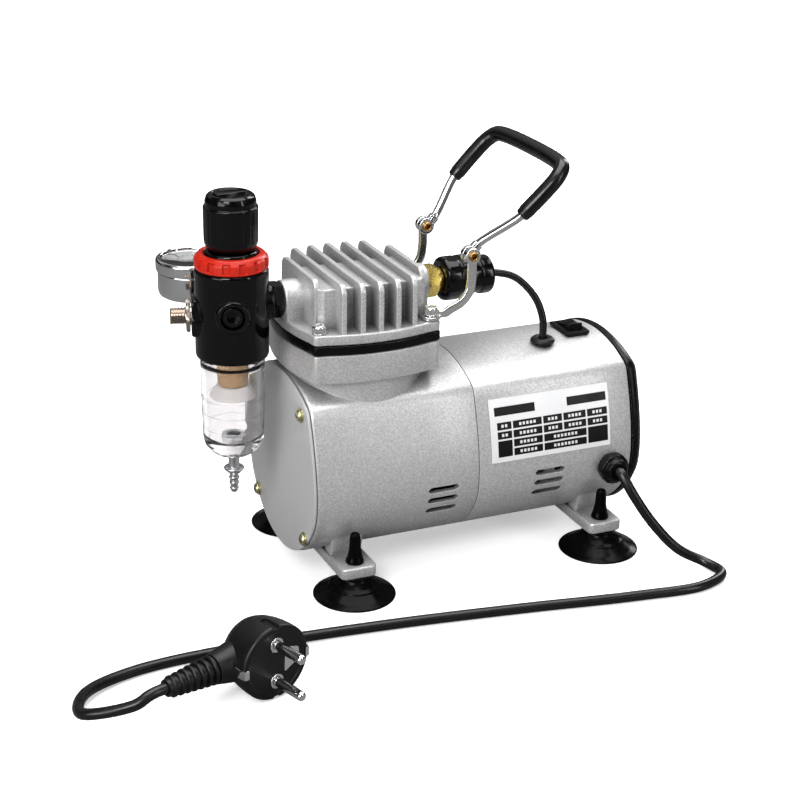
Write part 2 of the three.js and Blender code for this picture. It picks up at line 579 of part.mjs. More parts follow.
function buildGauge() {
  addPiece('gauge_case', gaugeCase(), 'chrome');
  const dial = cut(rodZ(15.2, 151.5, 152.5, GAUGE_X, GAUGE_Y, 20), rodZ(2, 150, 155, GAUGE_X, GAUGE_Y, 10));
  addPiece('gauge_dial', dial, 'white_plastic');
  const lens = rodZ(GAUGE_RADIUS - 2.7, GAUGE_HIGH - 2.2, GAUGE_HIGH - 0.8, GAUGE_X, GAUGE_Y, 20);
  addPiece('gauge_lens', lens, 'clear_plastic');
  const centre = gaugeAxis(156);
  const tip = centre.clone().addScaledVector(heading(-135), 12);
  const tail = centre.clone().addScaledVector(heading(45), 4.5);
  const hub = rodZ(2, 155.2, 156.8, GAUGE_X, GAUGE_Y, 12);
  addPiece('gauge_needle', union(hub, rod(0.8, tail, tip, 4, 0.3)), 'black_plastic');
}

function outletFitting() {
  const along = (distance) => fromAxis(OUTLET_HEADING, distance, OUTLET_Z);
  const flats = hexagon(14.5, along(20.6), along(24));
  const threadEnd = rod(4.5, along(23), along(30.6), 16);
  const shank = rod(4.7, along(11), along(21), 12);
  return cut(union(flats, threadEnd, shank), rod(2.4, along(9), along(32), 12));
}

function inletNipple() {
  const flats = hexagon(16.5, point(-95.3, 0, PORT_Z), point(-100.4, 0, PORT_Z));
  const intoHead = rodX(4.9, FRONT_PORT_FACE + 10, -96, 0, PORT_Z, 12);
  const neck = rodX(4.7, -100, -112, 0, PORT_Z, 12);
  return cut(union(flats, intoHead, neck), rodX(2.6, -115, -84, 0, PORT_Z, 12));
}

function buildRegulator() {
  addPiece('regulator_body', regulatorBody(), 'black_gloss');
  addPiece('collar_nut', collarNut(), 'red_plastic');
  addPiece('regulator_knob', regulatorKnob(), 'black_gloss');
  addPiece('adjusting_spindle', adjustingSpindle(), 'steel');
  addPiece('inlet_nipple', inletNipple(), 'black_gloss');
  const along = (distance) => fromAxis(PLUG_HEADING, distance, PLUG_Z);
  const plug = rod(5.7, along(10), along(19.2), 16);
  const socket = rod(3.2, along(14.5), along(21), 6);
  addPiece('port_plug', cut(plug, socket), 'steel');
  addPiece('outlet_fitting', outletFitting(), 'steel');
  addPiece('filter_bowl', filterBowl(), 'clear_plastic');
  addPiece('filter_element', tube(7.7, 4.5, regulatorAxis(104), point(0, 0, 1), 27, 16), 'bronze');
  addPiece('baffle_disc', rodZ(11.6, 100.4, 103.7, REGULATOR_X, 0, 20), 'white_plastic');
  const boss = tube(6, 3.4, regulatorAxis(BOWL_LOW + 3.3), point(0, 0, 1), 7, 16);
  const slot = box(REGULATOR_X - 7, REGULATOR_X + 7, -1, 1, BOWL_LOW + 7.5, BOWL_LOW + 12);
  addPiece('drain_boss', cut(boss, slot), 'steel');
  addPiece('drain_valve', turned([
    [0, 46.5], [1.6, 46.5], [2.4, 48.5], [1.9, 49.5], [2.6, 51.5], [1.9, 52.5], [2.8, 54.5], [2.2, 55.5],
    [2.2, 57.5], [5.2, 58], [5.2, 60.5], [2.9, 61], [2.9, 76], [0, 76],
  ], regulatorAxis(0), point(0, 0, 1), 14), 'steel');
  buildGauge();
}

// ---------------------------------------------------------------- pressure switch and mains parts

function buildElectrics() {
  const hexStart = REAR_PORT_FACE + GAP;
  const fitting = union(
    rodX(4.9, REAR_PORT_FACE - 9, hexStart + 0.5, 0, PORT_Z, 12),
    hexagon(15.5, point(hexStart, 0, PORT_Z), point(hexStart + 9, 0, PORT_Z)),
    rodX(4.2, hexStart + 8.5, 2, 0, PORT_Z, 12),
  );
  addPiece('brass_fitting', cut(fitting, rodX(2.4, -30, 3, 0, PORT_Z, 10)), 'brass');
  const switchStart = hexStart + 9 + GAP;
  const switchBody = turned([
    [0, 0], [10.2, 0], [11.6, 1.5], [11.6, 8.5], [11, 9], [11, 9.8], [11.6, 10.2], [11.6, 16],
    [9.4, 16.6], [9.4, 21], [10.2, 21.6], [10.2, 27], [9, 28.2], [0, 28.2],
  ], point(switchStart, 0, PORT_Z), point(1, 0, 0), 16);
  const socket = rodX(4.6, switchStart - 1, 3, 0, PORT_Z, 12);
  addPiece('pressure_switch', cut(switchBody, socket, rodX(2.4, 16, 30, 0, PORT_Z, 10)), 'black_plastic');
  addPiece('switch_lead', bentRod(2, smoothCurve([
    point(18, 0, PORT_Z), point(24, 0, PORT_Z), point(37, -2, 145), point(47, -7, 134), point(50, -11, 123),
    point(LEAD_X, LEAD_Y, 114), point(LEAD_X, LEAD_Y, 109), point(LEAD_X, LEAD_Y, 104),
  ]), 14), 'black_rubber');
  const grommet = tube(6.6, 2.5, point(LEAD_X, LEAD_Y, 110.6), point(0, 0, 1), 2.6, 14);
  addPiece('lead_grommet', grommet, 'black_rubber');
  buildRocker();
  buildCord();
}

// Rocker mains switch let into the crown of the rear housing.
function buildRocker() {
  const flange = slabZ(roundedRectangle(ROCKER_X, 0, 14.2, 21, 1.5), 110.4, 112.4, 2);
  const tub = box(ROCKER_X - 5.5, ROCKER_X + 5.5, -9.5, 9.5, 98, 111);
  const well = box(ROCKER_X - 4.4, ROCKER_X + 4.4, -8.2, 8.2, 100, 113);
  addPiece('rocker_frame', cut(union(flange, tub), well), 'black_plastic');
  const paddle = new THREE.Shape();
  paddle.moveTo(-7, 110);
  paddle.quadraticCurveTo(0, 104.3, 7, 110);
  paddle.lineTo(7.4, 113.2);
  paddle.quadraticCurveTo(1, 113, -6.6, 116);
  paddle.closePath();
  const button = slabX(paddle, ROCKER_X - 4.05, ROCKER_X + 4.05, 4);
  addPiece('rocker_button', button, 'black_plastic');
}

// Mains cord from the gland, down to the floor, along the near side and into the plug.
const PLUG_FACE_HEADING = heading(-72);
const CORD_EXIT_HEADING = heading(198);
const PLUG_CENTRE = point(-150, -116, 19.2);
const CORD_RADIUS = 2.7;

const plugAt = (alongFace, alongCord, up = 0) => PLUG_CENTRE.clone()
  .addScaledVector(PLUG_FACE_HEADING, alongFace)
  .addScaledVector(CORD_EXIT_HEADING, alongCord)
  .add(point(0, 0, up));

function plugBody() {
  const disc = turned([
    [0, -13], [10, -13], [15, -9], [18, -2], [18.9, 6], [18.9, 12.4], [18, 13.4], [0, 13.4],
  ], PLUG_CENTRE, PLUG_FACE_HEADING, 18);
  const neck = rod(9.5, plugAt(-1, 10), plugAt(-1, 25), 12, 7.5);
  const relief = rod(6.8, plugAt(-1, 24), plugAt(-1, 54), 12, 5);
  const pinHoles = [-9.5, 9.5].map((up) => rod(2.7, plugAt(4, 0, up), plugAt(20, 0, up), 10));
  const cordHole = rod(CORD_RADIUS + 0.6, plugAt(-1, 42), plugAt(-1, 60), 10);
  return cut(union(disc, neck, relief), ...pinHoles, cordHole);
}

function buildCord() {
  const gland = turned([
    [3.7, 0], [4.9, 0], [4.9, 7.8], [8, 7.8], [8.4, 9.6], [8.4, 13.2], [6.8, 14.6], [5.6, 17],
    [3.7, 17], [3.7, 0],
  ], point(GLAND_X, -40, GLAND_Z), point(0, -1, 0), 14);
  addPiece('cable_gland', gland, 'black_plastic');
  const reliefEnd = plugAt(-1, 43);
  const beyond = plugAt(-1, 60);
  addPiece('mains_cord', bentRod(CORD_RADIUS, smoothCurve([
    point(GLAND_X, -43, GLAND_Z), point(GLAND_X, -52, GLAND_Z), point(GLAND_X, -59, GLAND_Z),
    point(GLAND_X + 4.2, -67, 38), point(89, -74, 22.7), point(101, -81, 9),
    point(113, -90, CORD_RADIUS + 0.5), point(115, -102, CORD_RADIUS), point(98, -111, CORD_RADIUS),
    point(60, -108, CORD_RADIUS), point(0, -98, CORD_RADIUS), point(-70, -88, CORD_RADIUS),
    point(-140, -82, CORD_RADIUS), point(-200, -84, CORD_RADIUS), point(-228, -98, CORD_RADIUS + 2),
    point(-236, -122, 9), point(beyond.x - 8, beyond.y - 1, 16), beyond, reliefEnd,
  ]), 46, 6), 'black_rubber');
  addPiece('plug_body', plugBody(), 'black_rubber');
  [-9.5, 9.5].forEach((up, i) => {
    const pin = turned([
      [0, 6], [2.35, 6], [2.35, 31.4], [1.7, 32.6], [0, 33],
    ], plugAt(0, 0, up), PLUG_FACE_HEADING, 10);
    addPiece(`plug_pin_${i + 1}`, pin, 'chrome');
  });
}

// ---------------------------------------------------------------- carrying handle

const BRACKET_Y = 29.7;          // middle of the upright part of each bracket
const EYE_Y = 25.9;              // middle of each handle eye

// Chromed strap: flat lug under a head bolt, bent up behind the head and ending in a hinge boss.
function handleBracket(side) {
  const bolt = boltPlaces[side < 0 ? 1 : 2];
  const low = HEAD_BASE_HIGH + GAP;
  const lug = rodZ(5, low, low + BRACKET_THICKNESS, bolt.x, bolt.y, 16);
  const y = side * BRACKET_Y;
  const arm = bentRod(2.1, smoothCurve([
    point(bolt.x + 3, y, low + 1.4), point(-14.5, y, low + 3.4), point(-8, y, low + 6.4),
    point(-3.8, y, low + 11.5), point(HINGE_X, y, low + 18), point(HINGE_X, y, HINGE_Z - 3.2),
  ]), 10, 6);
  const boss = rodY(4.1, y - 1.5, y + 1.5, HINGE_X, HINGE_Z, 14);
  const seatRoom = rodZ(4.7, low + BRACKET_THICKNESS, low + 9, bolt.x, bolt.y, 16);
  const holes = [rodZ(2.8, 130, 150, bolt.x, bolt.y, 12), rodY(2, y - 4, y + 4, HINGE_X, HINGE_Z, 10)];
  const floor = box(bolt.x - 10, 0, y - 10, y + 10, low - 10, low);
  return cut(union(lug, arm, boss), seatRoom, floor, ...holes);
}

// Point of the handle at a distance from the hinge axis, in the plane of the legs.
const onHandle = (distance, y) => point(
  HINGE_X + distance * Math.cos(radians(HANDLE_ANGLE)),
  y,
  HINGE_Z + distance * Math.sin(radians(HANDLE_ANGLE)),
);

// One half of the handle's centreline, from a leg to the middle of the crossbar.
const gripSide = (side) => [
  onHandle(31.5, side * 39.2), onHandle(48, side * 40.2), onHandle(57, side * 39.6),
  onHandle(62.3, side * 36.4), onHandle(HANDLE_REACH, side * 30),
];

function buildHandle() {
  const [near, far] = [gripSide(-1), gripSide(1).reverse()];
  const legStart = (side) => [onHandle(3, side * 25.5), onHandle(8, side * 25.5)];
  const path = smoothCurve([...legStart(-1), ...near, ...far, ...legStart(1).reverse()]);
  const eyes = [-1, 1].map((side) => {
    const y = side * EYE_Y;
    return rodY(4.4, y - 1.5, y + 1.5, HINGE_X, HINGE_Z, 14);
  });
  const hingeHoles = rodY(2, -40, 40, HINGE_X, HINGE_Z, 10);
  addPiece('handle_bar', cut(union(bentRod(2, path, 26, 6), ...eyes), hingeHoles), 'chrome');
  const sleeve = smoothCurve([...near, ...far]);
  addPiece('handle_grip', bentRod(4.1, sleeve, 18, 8, 2.6), 'black_rubber');
  addPiece('handle_bracket_near', handleBracket(-1), 'chrome');
  addPiece('handle_bracket_far', handleBracket(1), 'chrome');
  const hinge = { headRadius: 2.8, headHeight: 2, shankRadius: 1.6, length: 8, recess: 1.4 };
  const outward = point(0, -1, 0);
  const nearSeat = point(HINGE_X, -BRACKET_Y - 1.6, HINGE_Z);
  const farSeat = point(HINGE_X, EYE_Y - 1.6, HINGE_Z);
  addPiece('hinge_screw_near', screw(nearSeat, outward, hinge), 'brass');
  addPiece('hinge_screw_far', screw(farSeat, outward, hinge), 'brass');
}

// ---------------------------------------------------------------- motor and crank drive

const axisAt = (x, z = BODY_AXIS_Z) => point(x, 0, z);

function rotorShaft() {
  const core = rodX(23.5, 4, 40, 0, BODY_AXIS_Z, 24);
  const shaft = rodX(SHAFT_RADIUS, -46, 76, 0, BODY_AXIS_Z, 16);
  const web = slabX(roundedRectangle(0, BODY_AXIS_Z - 4, 20, 34, 9), -46, -40, 3);
  const pin = rodX(4, -66, -45, 0, BODY_AXIS_Z + CRANK_THROW, 16);
  return union(core, shaft, web, pin);
}

function coolingFan() {
  const hub = rodX(11, 60, 74, 0, BODY_AXIS_Z, 16);
  const blades = Array.from({ length: 7 }, (_, i) => {
    const angle = (2 * Math.PI * i) / 7;
    const blade = new THREE.BoxGeometry(2, 25, 12);
    blade.rotateY(radians(40)).translate(67, 21, 0).rotateX(angle).translate(0, 0, BODY_AXIS_Z);
    return solid(blade);
  });
  return cut(union(hub, ...blades), rodX(SHAFT_RADIUS + GAP, 50, 80, 0, BODY_AXIS_Z, 16));
}

const ROD_TOP_Z = 97;

function connectingRod() {
  const bigEnd = rodX(9, -62, -50, 0, BODY_AXIS_Z + CRANK_THROW, 20);
  const shank = box(-59, -53, -4, 4, BODY_AXIS_Z + CRANK_THROW + 4, ROD_TOP_Z - 3);
  const smallEnd = rodX(5, -60, -51, 0, ROD_TOP_Z - 4, 16);
  const bore = rodX(4.3, -70, -40, 0, BODY_AXIS_Z + CRANK_THROW, 16);
  return cut(union(bigEnd, shank, smallEnd), bore);
}

// Hollow piston at the top of its stroke; room is left inside for the small end at any crank angle.
function piston() {
  return turned([
    [0, 124.5], [18.6, 124.5], [18.6, 101], [15.6, 101], [15.6, 121], [0, 121],
  ], point(CYLINDER_X, 0, 0), point(0, 0, 1), 20);
}

function bearing(x) {
  return tube(BEARING_OUTER, SHAFT_RADIUS + GAP, axisAt(x), point(1, 0, 0), 7, 16);
}

function buildDrive() {
  addPiece('motor_stator', tube(41, 24.4, axisAt(4), point(1, 0, 0), 36, 24), 'steel');
  addPiece('rotor_shaft', rotorShaft(), 'steel');
  addPiece('front_bearing', bearing(FRONT_BEARING_X - 0.5), 'steel');
  addPiece('rear_bearing', bearing(REAR_BEARING_X - 6.5), 'steel');
  addPiece('cooling_fan', coolingFan(), 'black_plastic');
  addPiece('connecting_rod', connectingRod(), 'aluminium');
  addPiece('piston', piston(), 'aluminium');
}

// Sheet-metal data plate on the near shoulder of the rear housing.
function buildRatingPlate() {
  const [start, end, low, high] = [4, 74.5, 61, 94];
  const offset = slabX(bodyOutline(-0.7), start, end);
  const wall = slabX(bodyOutline(-0.25), start - 1, end + 1);
  const window = box(start - 1, end + 1, -60, 0, low, high);
  addPiece('rating_plate', cut(offset, wall).intersect(window), 'white_plastic');
}

buildHousing();
buildFeet();
buildCylinder();
buildRegulator();
buildElectrics();
buildHandle();
buildDrive();
buildRatingPlate();

const footprint = new THREE.Box3().setFromObject(group).getCenter(point(0, 0, 0));
group.children.forEach((piece) => piece.position.set(-footprint.x, -footprint.y, 0));

export default group;
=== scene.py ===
"""Looks for a small airbrush compressor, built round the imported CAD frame.

Lengths of the object are millimetres, set out from the point on the floor midway between the four feet, and
become metres in the frame when a mesh is made. The studio is laid out in metres.
"""
import math

import bmesh
import bpy
from mathutils import Matrix, Vector


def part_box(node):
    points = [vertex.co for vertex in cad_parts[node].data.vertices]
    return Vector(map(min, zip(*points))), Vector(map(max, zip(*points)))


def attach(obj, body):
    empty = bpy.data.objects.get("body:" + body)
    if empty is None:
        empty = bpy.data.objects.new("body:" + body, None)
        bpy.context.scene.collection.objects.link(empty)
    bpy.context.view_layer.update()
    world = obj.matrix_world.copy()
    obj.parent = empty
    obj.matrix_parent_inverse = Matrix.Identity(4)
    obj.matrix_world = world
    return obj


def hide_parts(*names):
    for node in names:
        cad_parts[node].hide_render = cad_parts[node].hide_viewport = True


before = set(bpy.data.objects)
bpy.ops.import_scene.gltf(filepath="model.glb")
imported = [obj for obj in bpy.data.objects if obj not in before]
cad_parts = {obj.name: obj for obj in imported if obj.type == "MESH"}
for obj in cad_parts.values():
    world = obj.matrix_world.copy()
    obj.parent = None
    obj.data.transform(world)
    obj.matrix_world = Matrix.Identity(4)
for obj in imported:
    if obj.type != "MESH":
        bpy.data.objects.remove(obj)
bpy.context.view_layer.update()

MM = 0.001
TURN = 2 * math.pi


def mid(node):
    """Centre of a CAD node's box, in metres."""
    low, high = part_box(node)
    return (low + high) / 2


BASE = sum((mid(f"foot_{i}") for i in (1, 2, 3, 4)), Vector()) / 4
BASE.z = 0


def local(point):
    """A point of the frame as millimetres from the middle of the feet."""
    return (Vector(point) - BASE) / MM


def low(node):
    return local(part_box(node)[0])


def high(node):
    return local(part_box(node)[1])


def centre(node):
    return local(mid(node))


def heading(degrees):
    """Level direction, counted from +X towards +Y."""
    return Vector((math.cos(math.radians(degrees)), math.sin(math.radians(degrees)), 0))


# ---------------------------------------------------------------- mesh helpers

def linked(name, data):
    """New object of the scene."""
    obj = bpy.data.objects.new(name, data)
    bpy.context.scene.collection.objects.link(obj)
    return obj


def final_mesh(obj):
    """Mesh of an object with its modifiers applied."""
    return bpy.data.meshes.new_from_object(obj.evaluated_get(bpy.context.evaluated_depsgraph_get()))


def new_object(name, verts, faces):
    mesh = bpy.data.meshes.new(name)
    mesh.from_pydata([Vector(v) * MM + BASE for v in verts], [], faces)
    mesh.validate()
    made = bmesh.new()
    made.from_mesh(mesh)
    bmesh.ops.remove_doubles(made, verts=made.verts, dist=1e-7)
    bmesh.ops.recalc_face_normals(made, faces=made.faces)
    made.to_mesh(mesh)
    made.free()
    return linked(name, mesh)


def bend(start, control, end, t):
    """Point of a quadratic curve."""
    return start * (1 - t) ** 2 + control * 2 * t * (1 - t) + end * t * t


def arc(start, control, end, steps):
    """Points of a quadratic curve between its ends."""
    return [bend(Vector(start), Vector(control), Vector(end), i / steps) for i in range(1, steps)]


def soften(points, radius, steps=3, closed=False):
    """Rounds the corners of a line of 2-D points; end points of an open line stay."""
    points = [Vector(p[:2]) for p in points]
    count = len(points)
    out = []
    for i, p in enumerate(points):
        if not closed and i in (0, count - 1):
            out.append(p)
            continue
        before, after = points[i - 1], points[(i + 1) % count]
        reach = min(radius, 0.45 * (before - p).length, 0.45 * (after - p).length)
        a = p + (before - p).normalized() * reach
        b = p + (after - p).normalized() * reach
        out += [bend(a, p, b, k / steps) for k in range(steps + 1)]
    return out


def polygon_radius(radius, angle, sides):
    """Distance from the centre to the edge of a regular polygon whose corners lie at the radius."""
    wedge = TURN / sides
    return radius * math.cos(wedge / 2) / math.cos(angle % wedge - wedge / 2)


def skin(name, rings, closed_rings=False):
    """Mesh over rings of equal length; the first and last are capped, or joined when the rings close up."""
    size = len(rings[0])
    verts = [v for ring in rings for v in ring]
    faces = []
    spans = len(rings) if closed_rings else len(rings) - 1
    for i in range(spans):
        a, b = i * size, ((i + 1) % len(rings)) * size
        faces += [(a + j, a + (j + 1) % size, b + (j + 1) % size, b + j) for j in range(size)]
    if not closed_rings:
        faces += [tuple(range(size)), tuple(range(len(verts) - size, len(verts)))]
    return new_object(name, verts, faces)


def revolve(name, profile, origin, axis=(0, 0, 1), sides=96, rounding=0.3, shape=None, steps=3):
    """Turned piece from (radius, height) points, a ring if they stay clear of the axis.

    shape(radius, height, angle) gives the radius at each angle, for lobes, flats and threads.
    """
    closed = profile[0][0] > 0
    line = soften(profile, rounding, steps, closed) if rounding else [Vector(p) for p in profile]
    turn = Vector(axis).to_track_quat("Z", "Y")
    rings = []
    for radius, height in line:
        ring = []
        for j in range(sides):
            angle = TURN * j / sides
            r = shape(radius, height, angle) if shape else radius
            r = max(r, 1e-4)
            ring.append(turn @ Vector((r * math.cos(angle), r * math.sin(angle), height)) + Vector(origin))
        rings.append(ring)
    return skin(name, rings, closed_rings=closed)


def hexagonal(across_flats, start=-math.inf, end=math.inf):
    """Shape of a chamfered hexagon between two heights: the profile, but never outside the flats."""
    corner = across_flats / math.sqrt(3)
    return lambda r, h, angle: min(r, polygon_radius(corner, angle, 6)) if start < h < end else r


def socket(reach, floor, stretch):
    """Shape of a hexagonal socket: everything nearer than the reach and higher than the floor."""
    return lambda r, h, angle: polygon_radius(r * stretch, angle, 6) if r < reach and h > floor else r


def threaded(pitch, depth, start, end):
    """Shape of a helical thread between two heights."""
    def shape(r, h, angle):
        if not start < h < end:
            return r
        phase = (h / pitch - angle / TURN) % 1
        return r - depth * abs(2 * phase - 1)
    return shape


def inset(outline, amount):
    """Closed 2-D outline moved inwards (or outwards for a negative amount) along its corner normals."""
    count = len(outline)
    out = []
    for i, p in enumerate(outline):
        into = (p - outline[i - 1]).normalized()
        away = (outline[(i + 1) % count] - p).normalized()
        normal = Vector((into.y + away.y, -into.x - away.x))
        if normal.length < 1e-6:
            out.append(p.copy())
            continue
        normal.normalize()
        miter = max(0.5, normal.dot(Vector((away.y, -away.x))))
        out.append(p - normal * amount / miter)
    return out


def counter_clockwise(outline):
    area = sum(a.cross(b) for a, b in zip(outline, outline[1:] + outline[:1]))
    return outline if area > 0 else outline[::-1]


PLACE = {"x": lambda a, p: (a, p[0], p[1]), "y": lambda a, p: (p[0], a, p[1]), "z": lambda a,
    p: (p[0], p[1], a),}


def slab(name, outline, along, start, end, bevel=0.6, steps=3):
    """Flat piece with rounded edges: a 2-D outline filled from start to end along an axis."""
    outline = counter_clockwise([Vector(p[:2]) for p in outline])
    quarter = [k / steps * math.pi / 2 for k in range(steps + 1)]
    first = [(start + bevel * (1 - math.sin(q)), bevel * (1 - math.cos(q))) for q in reversed(quarter)]
    last = [(end - bevel * (1 - math.sin(q)), bevel * (1 - math.cos(q))) for q in quarter]
    rings = []
    for position, amount in first + last:
        rings.append([PLACE[along](position, p) for p in inset(outline, amount)])
    return skin(name, rings)


def rectangle(cx, cy, width, height, radius=1.0, steps=4):
    w, h = width / 2, height / 2
    corners = [(cx - w, cy - h), (cx + w, cy - h), (cx + w, cy + h), (cx - w, cy + h)]
    return soften(corners, radius, steps, closed=True)


def block(name, x0, x1, y0, y1, z0, z1, bevel=0.5):
    outline = rectangle((x0 + x1) / 2, (y0 + y1) / 2, x1 - x0, y1 - y0, max(bevel, 0.05), 3)
    return slab(name, outline, "z", z0, z1, bevel)


def spline(points, per_span=8):
    """Smooth centripetal curve through points."""
    points = [Vector(p) for p in points]
    ghosts = [2 * points[0] - points[1], *points, 2 * points[-1] - points[-2]]
    out = []
    for i in range(1, len(ghosts) - 2):
        p0, p1, p2, p3 = ghosts[i - 1:i + 3]
        t1 = (p1 - p0).length ** 0.5
        t2 = t1 + (p2 - p1).length ** 0.5
        t3 = t2 + (p3 - p2).length ** 0.5
        for k in range(per_span):
            t = t1 + (t2 - t1) * k / per_span
            a1 = p0 * ((t1 - t) / t1) + p1 * (t / t1)
            a2 = p1 * ((t2 - t) / (t2 - t1)) + p2 * ((t - t1) / (t2 - t1))
            a3 = p2 * ((t3 - t) / (t3 - t2)) + p3 * ((t - t2) / (t3 - t2))
            b1 = a1 * ((t2 - t) / t2) + a2 * (t / t2)
            b2 = a2 * ((t3 - t) / (t3 - t1)) + a3 * ((t - t1) / (t3 - t1))
            out.append(b1 * ((t2 - t) / (t2 - t1)) + b2 * ((t - t1) / (t2 - t1)))
    out.append(points[-1])
    return out


def sweep(name, path, radius, sides=20, section=None, side_hint=(0, 1, 0), round_ends=True):
    """Rod along a path. radius is a number or a function of the share of length, section (width, depth)."""
    lengths = [0.0]
    for a, b in zip(path, path[1:]):
        lengths.append(lengths[-1] + (b - a).length)
    total = lengths[-1]
    size = radius if callable(radius) else lambda share: radius
    rows = [(p, i, 1.0, 0.0) for i, p in enumerate(path)]
    if round_ends:
        angles = [math.radians(a) for a in (90, 60, 30)]
        tip = [(0, math.cos(a), -math.sin(a)) for a in angles]
        tail = [(len(path) - 1, math.cos(a), math.sin(a)) for a in reversed(angles)]
        rows = [(path[i], i, c, s) for i, c, s in tip] + rows + [(path[i], i, c, s) for i, c, s in tail]
    hint = Vector(side_hint)
    rings = []
    for p, i, shrink, push in rows:
        ahead = (path[min(i + 1, len(path) - 1)] - path[max(i - 1, 0)]).normalized()
        hint = (hint - ahead * hint.dot(ahead)).normalized()
        up = ahead.cross(hint)
        r = size(lengths[i] / total)
        wide, deep = section or (r, r)
        middle = p + ahead * push * min(wide, deep) * 0.5
        ring = []
        for j in range(sides):
            angle = TURN * (j + 0.5) / sides
            c, s = math.cos(angle), math.sin(angle)
            if section:
                c = math.copysign(abs(c) ** 0.45, c)
                s = math.copysign(abs(s) ** 0.45, s)
            k = max(shrink, 0.02)
            ring.append(middle + hint * (c * wide * k) + up * (s * deep * k))
        rings.append(ring)
    return skin(name, rings)


def merge(name, *objects):
    """One object from several, with no boolean."""
    made = bmesh.new()
    for obj in objects:
        made.from_mesh(obj.data)
        bpy.data.objects.remove(obj)
    mesh = bpy.data.meshes.new(name)
    made.to_mesh(mesh)
    made.free()
    return linked(name, mesh)


def boolean(obj, other, operation):
    modifier = obj.modifiers.new("cut", "BOOLEAN")
    modifier.operation = operation
    modifier.solver = "MANIFOLD"
    modifier.object = other
    mesh = final_mesh(obj)
    obj.modifiers.clear()
    obj.data = mesh
    bpy.data.objects.remove(other)
    return obj


def fuse(obj, *others):
    for other in others:
        boolean(obj, other, "UNION")
    return obj


def carve(obj, *cutters):
    for cutter in cutters:
        boolean(obj, cutter, "DIFFERENCE")
    return obj


def piece(obj, slot, material, *stands_for, body="machine", angle=32):
    """Finishes a mesh: smooth faces with sharp corners kept, one material, and the body it rides on."""
    obj.data.shade_smooth()
    obj.data.set_sharp_from_angle(angle=math.radians(angle))
    obj.data.materials.clear()
    obj.data.materials.append(material)
    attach(obj, body)
    if stands_for:
        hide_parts(*stands_for)
    return obj


# ---------------------------------------------------------------- materials

class Graph:
    """Small builder for the nodes of a material or of the world."""

    def __init__(self, name, world=None):
        self.material = world or bpy.data.materials.new(name)
        self.material.use_nodes = True
        self.tree = self.material.node_tree
        self.shader = self.tree.nodes["Background" if world else "Principled BSDF"]
        self.place = self.node("ShaderNodeTexCoord").outputs["Generated" if world else "Object"]

    def node(self, kind, inputs=None, **settings):
        node = self.tree.nodes.new(kind)
        for key, value in settings.items():
            setattr(node, key, value)
        for key, value in (inputs or {}).items():
            self.put(node, key, value)
        return node

    def set(self, **values):
        """Inputs of the main shader, with _ for the spaces of their names."""
        for key, value in values.items():
            self.put(self.shader, key.replace("_", " "), value)

    def put(self, node, key, value):
        socket = node.inputs[key]
        if isinstance(value, bpy.types.NodeSocket):
            self.tree.links.new(value, socket)
        else:
            socket.default_value = value

    def noise(self, scale, detail=3.0):
        inputs = {"Vector": self.place, "Scale": scale, "Detail": detail, "Roughness": 0.55}
        return self.node("ShaderNodeTexNoise", inputs).outputs["Fac"]

    def cells(self, scale, output="Color"):
        inputs = {"Vector": self.place, "Scale": scale}
        return self.node("ShaderNodeTexVoronoi", inputs).outputs[output]

    def span(self, value, start, end, low_in=0.25, high_in=0.75):
        inputs = {"Value": value, "From Min": low_in, "From Max": high_in, "To Min": start, "To Max": end}
        return self.node("ShaderNodeMapRange", inputs).outputs["Result"]

    def blend(self, share, first, second):
        """Mix of two colours; 6 and 7 are the colour inputs of a Mix node, 2 its colour output."""
        return self.node("ShaderNodeMix", {0: share, 6: first, 7: second}, data_type="RGBA").outputs[2]

    def math(self, operation, first, second=0.0):
        return self.node("ShaderNodeMath", {0: first, 1: second}, operation=operation).outputs[0]

    def edge(self, radius):
        """Mask of outer edges, from how far a rounded normal leans away from the face's own."""
        bevel = self.node("ShaderNodeBevel", {"Radius": radius * MM}, samples=4).outputs["Normal"]
        flat = self.node("ShaderNodeNewGeometry").outputs["Normal"]
        dot = self.node("ShaderNodeVectorMath", {0: bevel, 1: flat}, operation="DOT_PRODUCT").outputs
        return self.span(dot["Value"], 1.0, 0.0, 0.86, 0.99)

    def bump(self, layers, normal=None):
        for height, strength, distance in layers:
            inputs = {"Height": height, "Strength": strength, "Distance": distance * MM}
            if normal is not None:
                inputs["Normal"] = normal
            normal = self.node("ShaderNodeBump", inputs).outputs["Normal"]
        self.put(self.shader, "Normal", normal)


def rgb(red, green=None, blue=None):
    """Opaque colour; one number makes a grey."""
    return (red, red, red, 1.0) if green is None else (red, green, blue, 1.0)


def shade(color, factor):
    return tuple(min(1.0, c * factor) for c in color[:3]) + (1.0,)


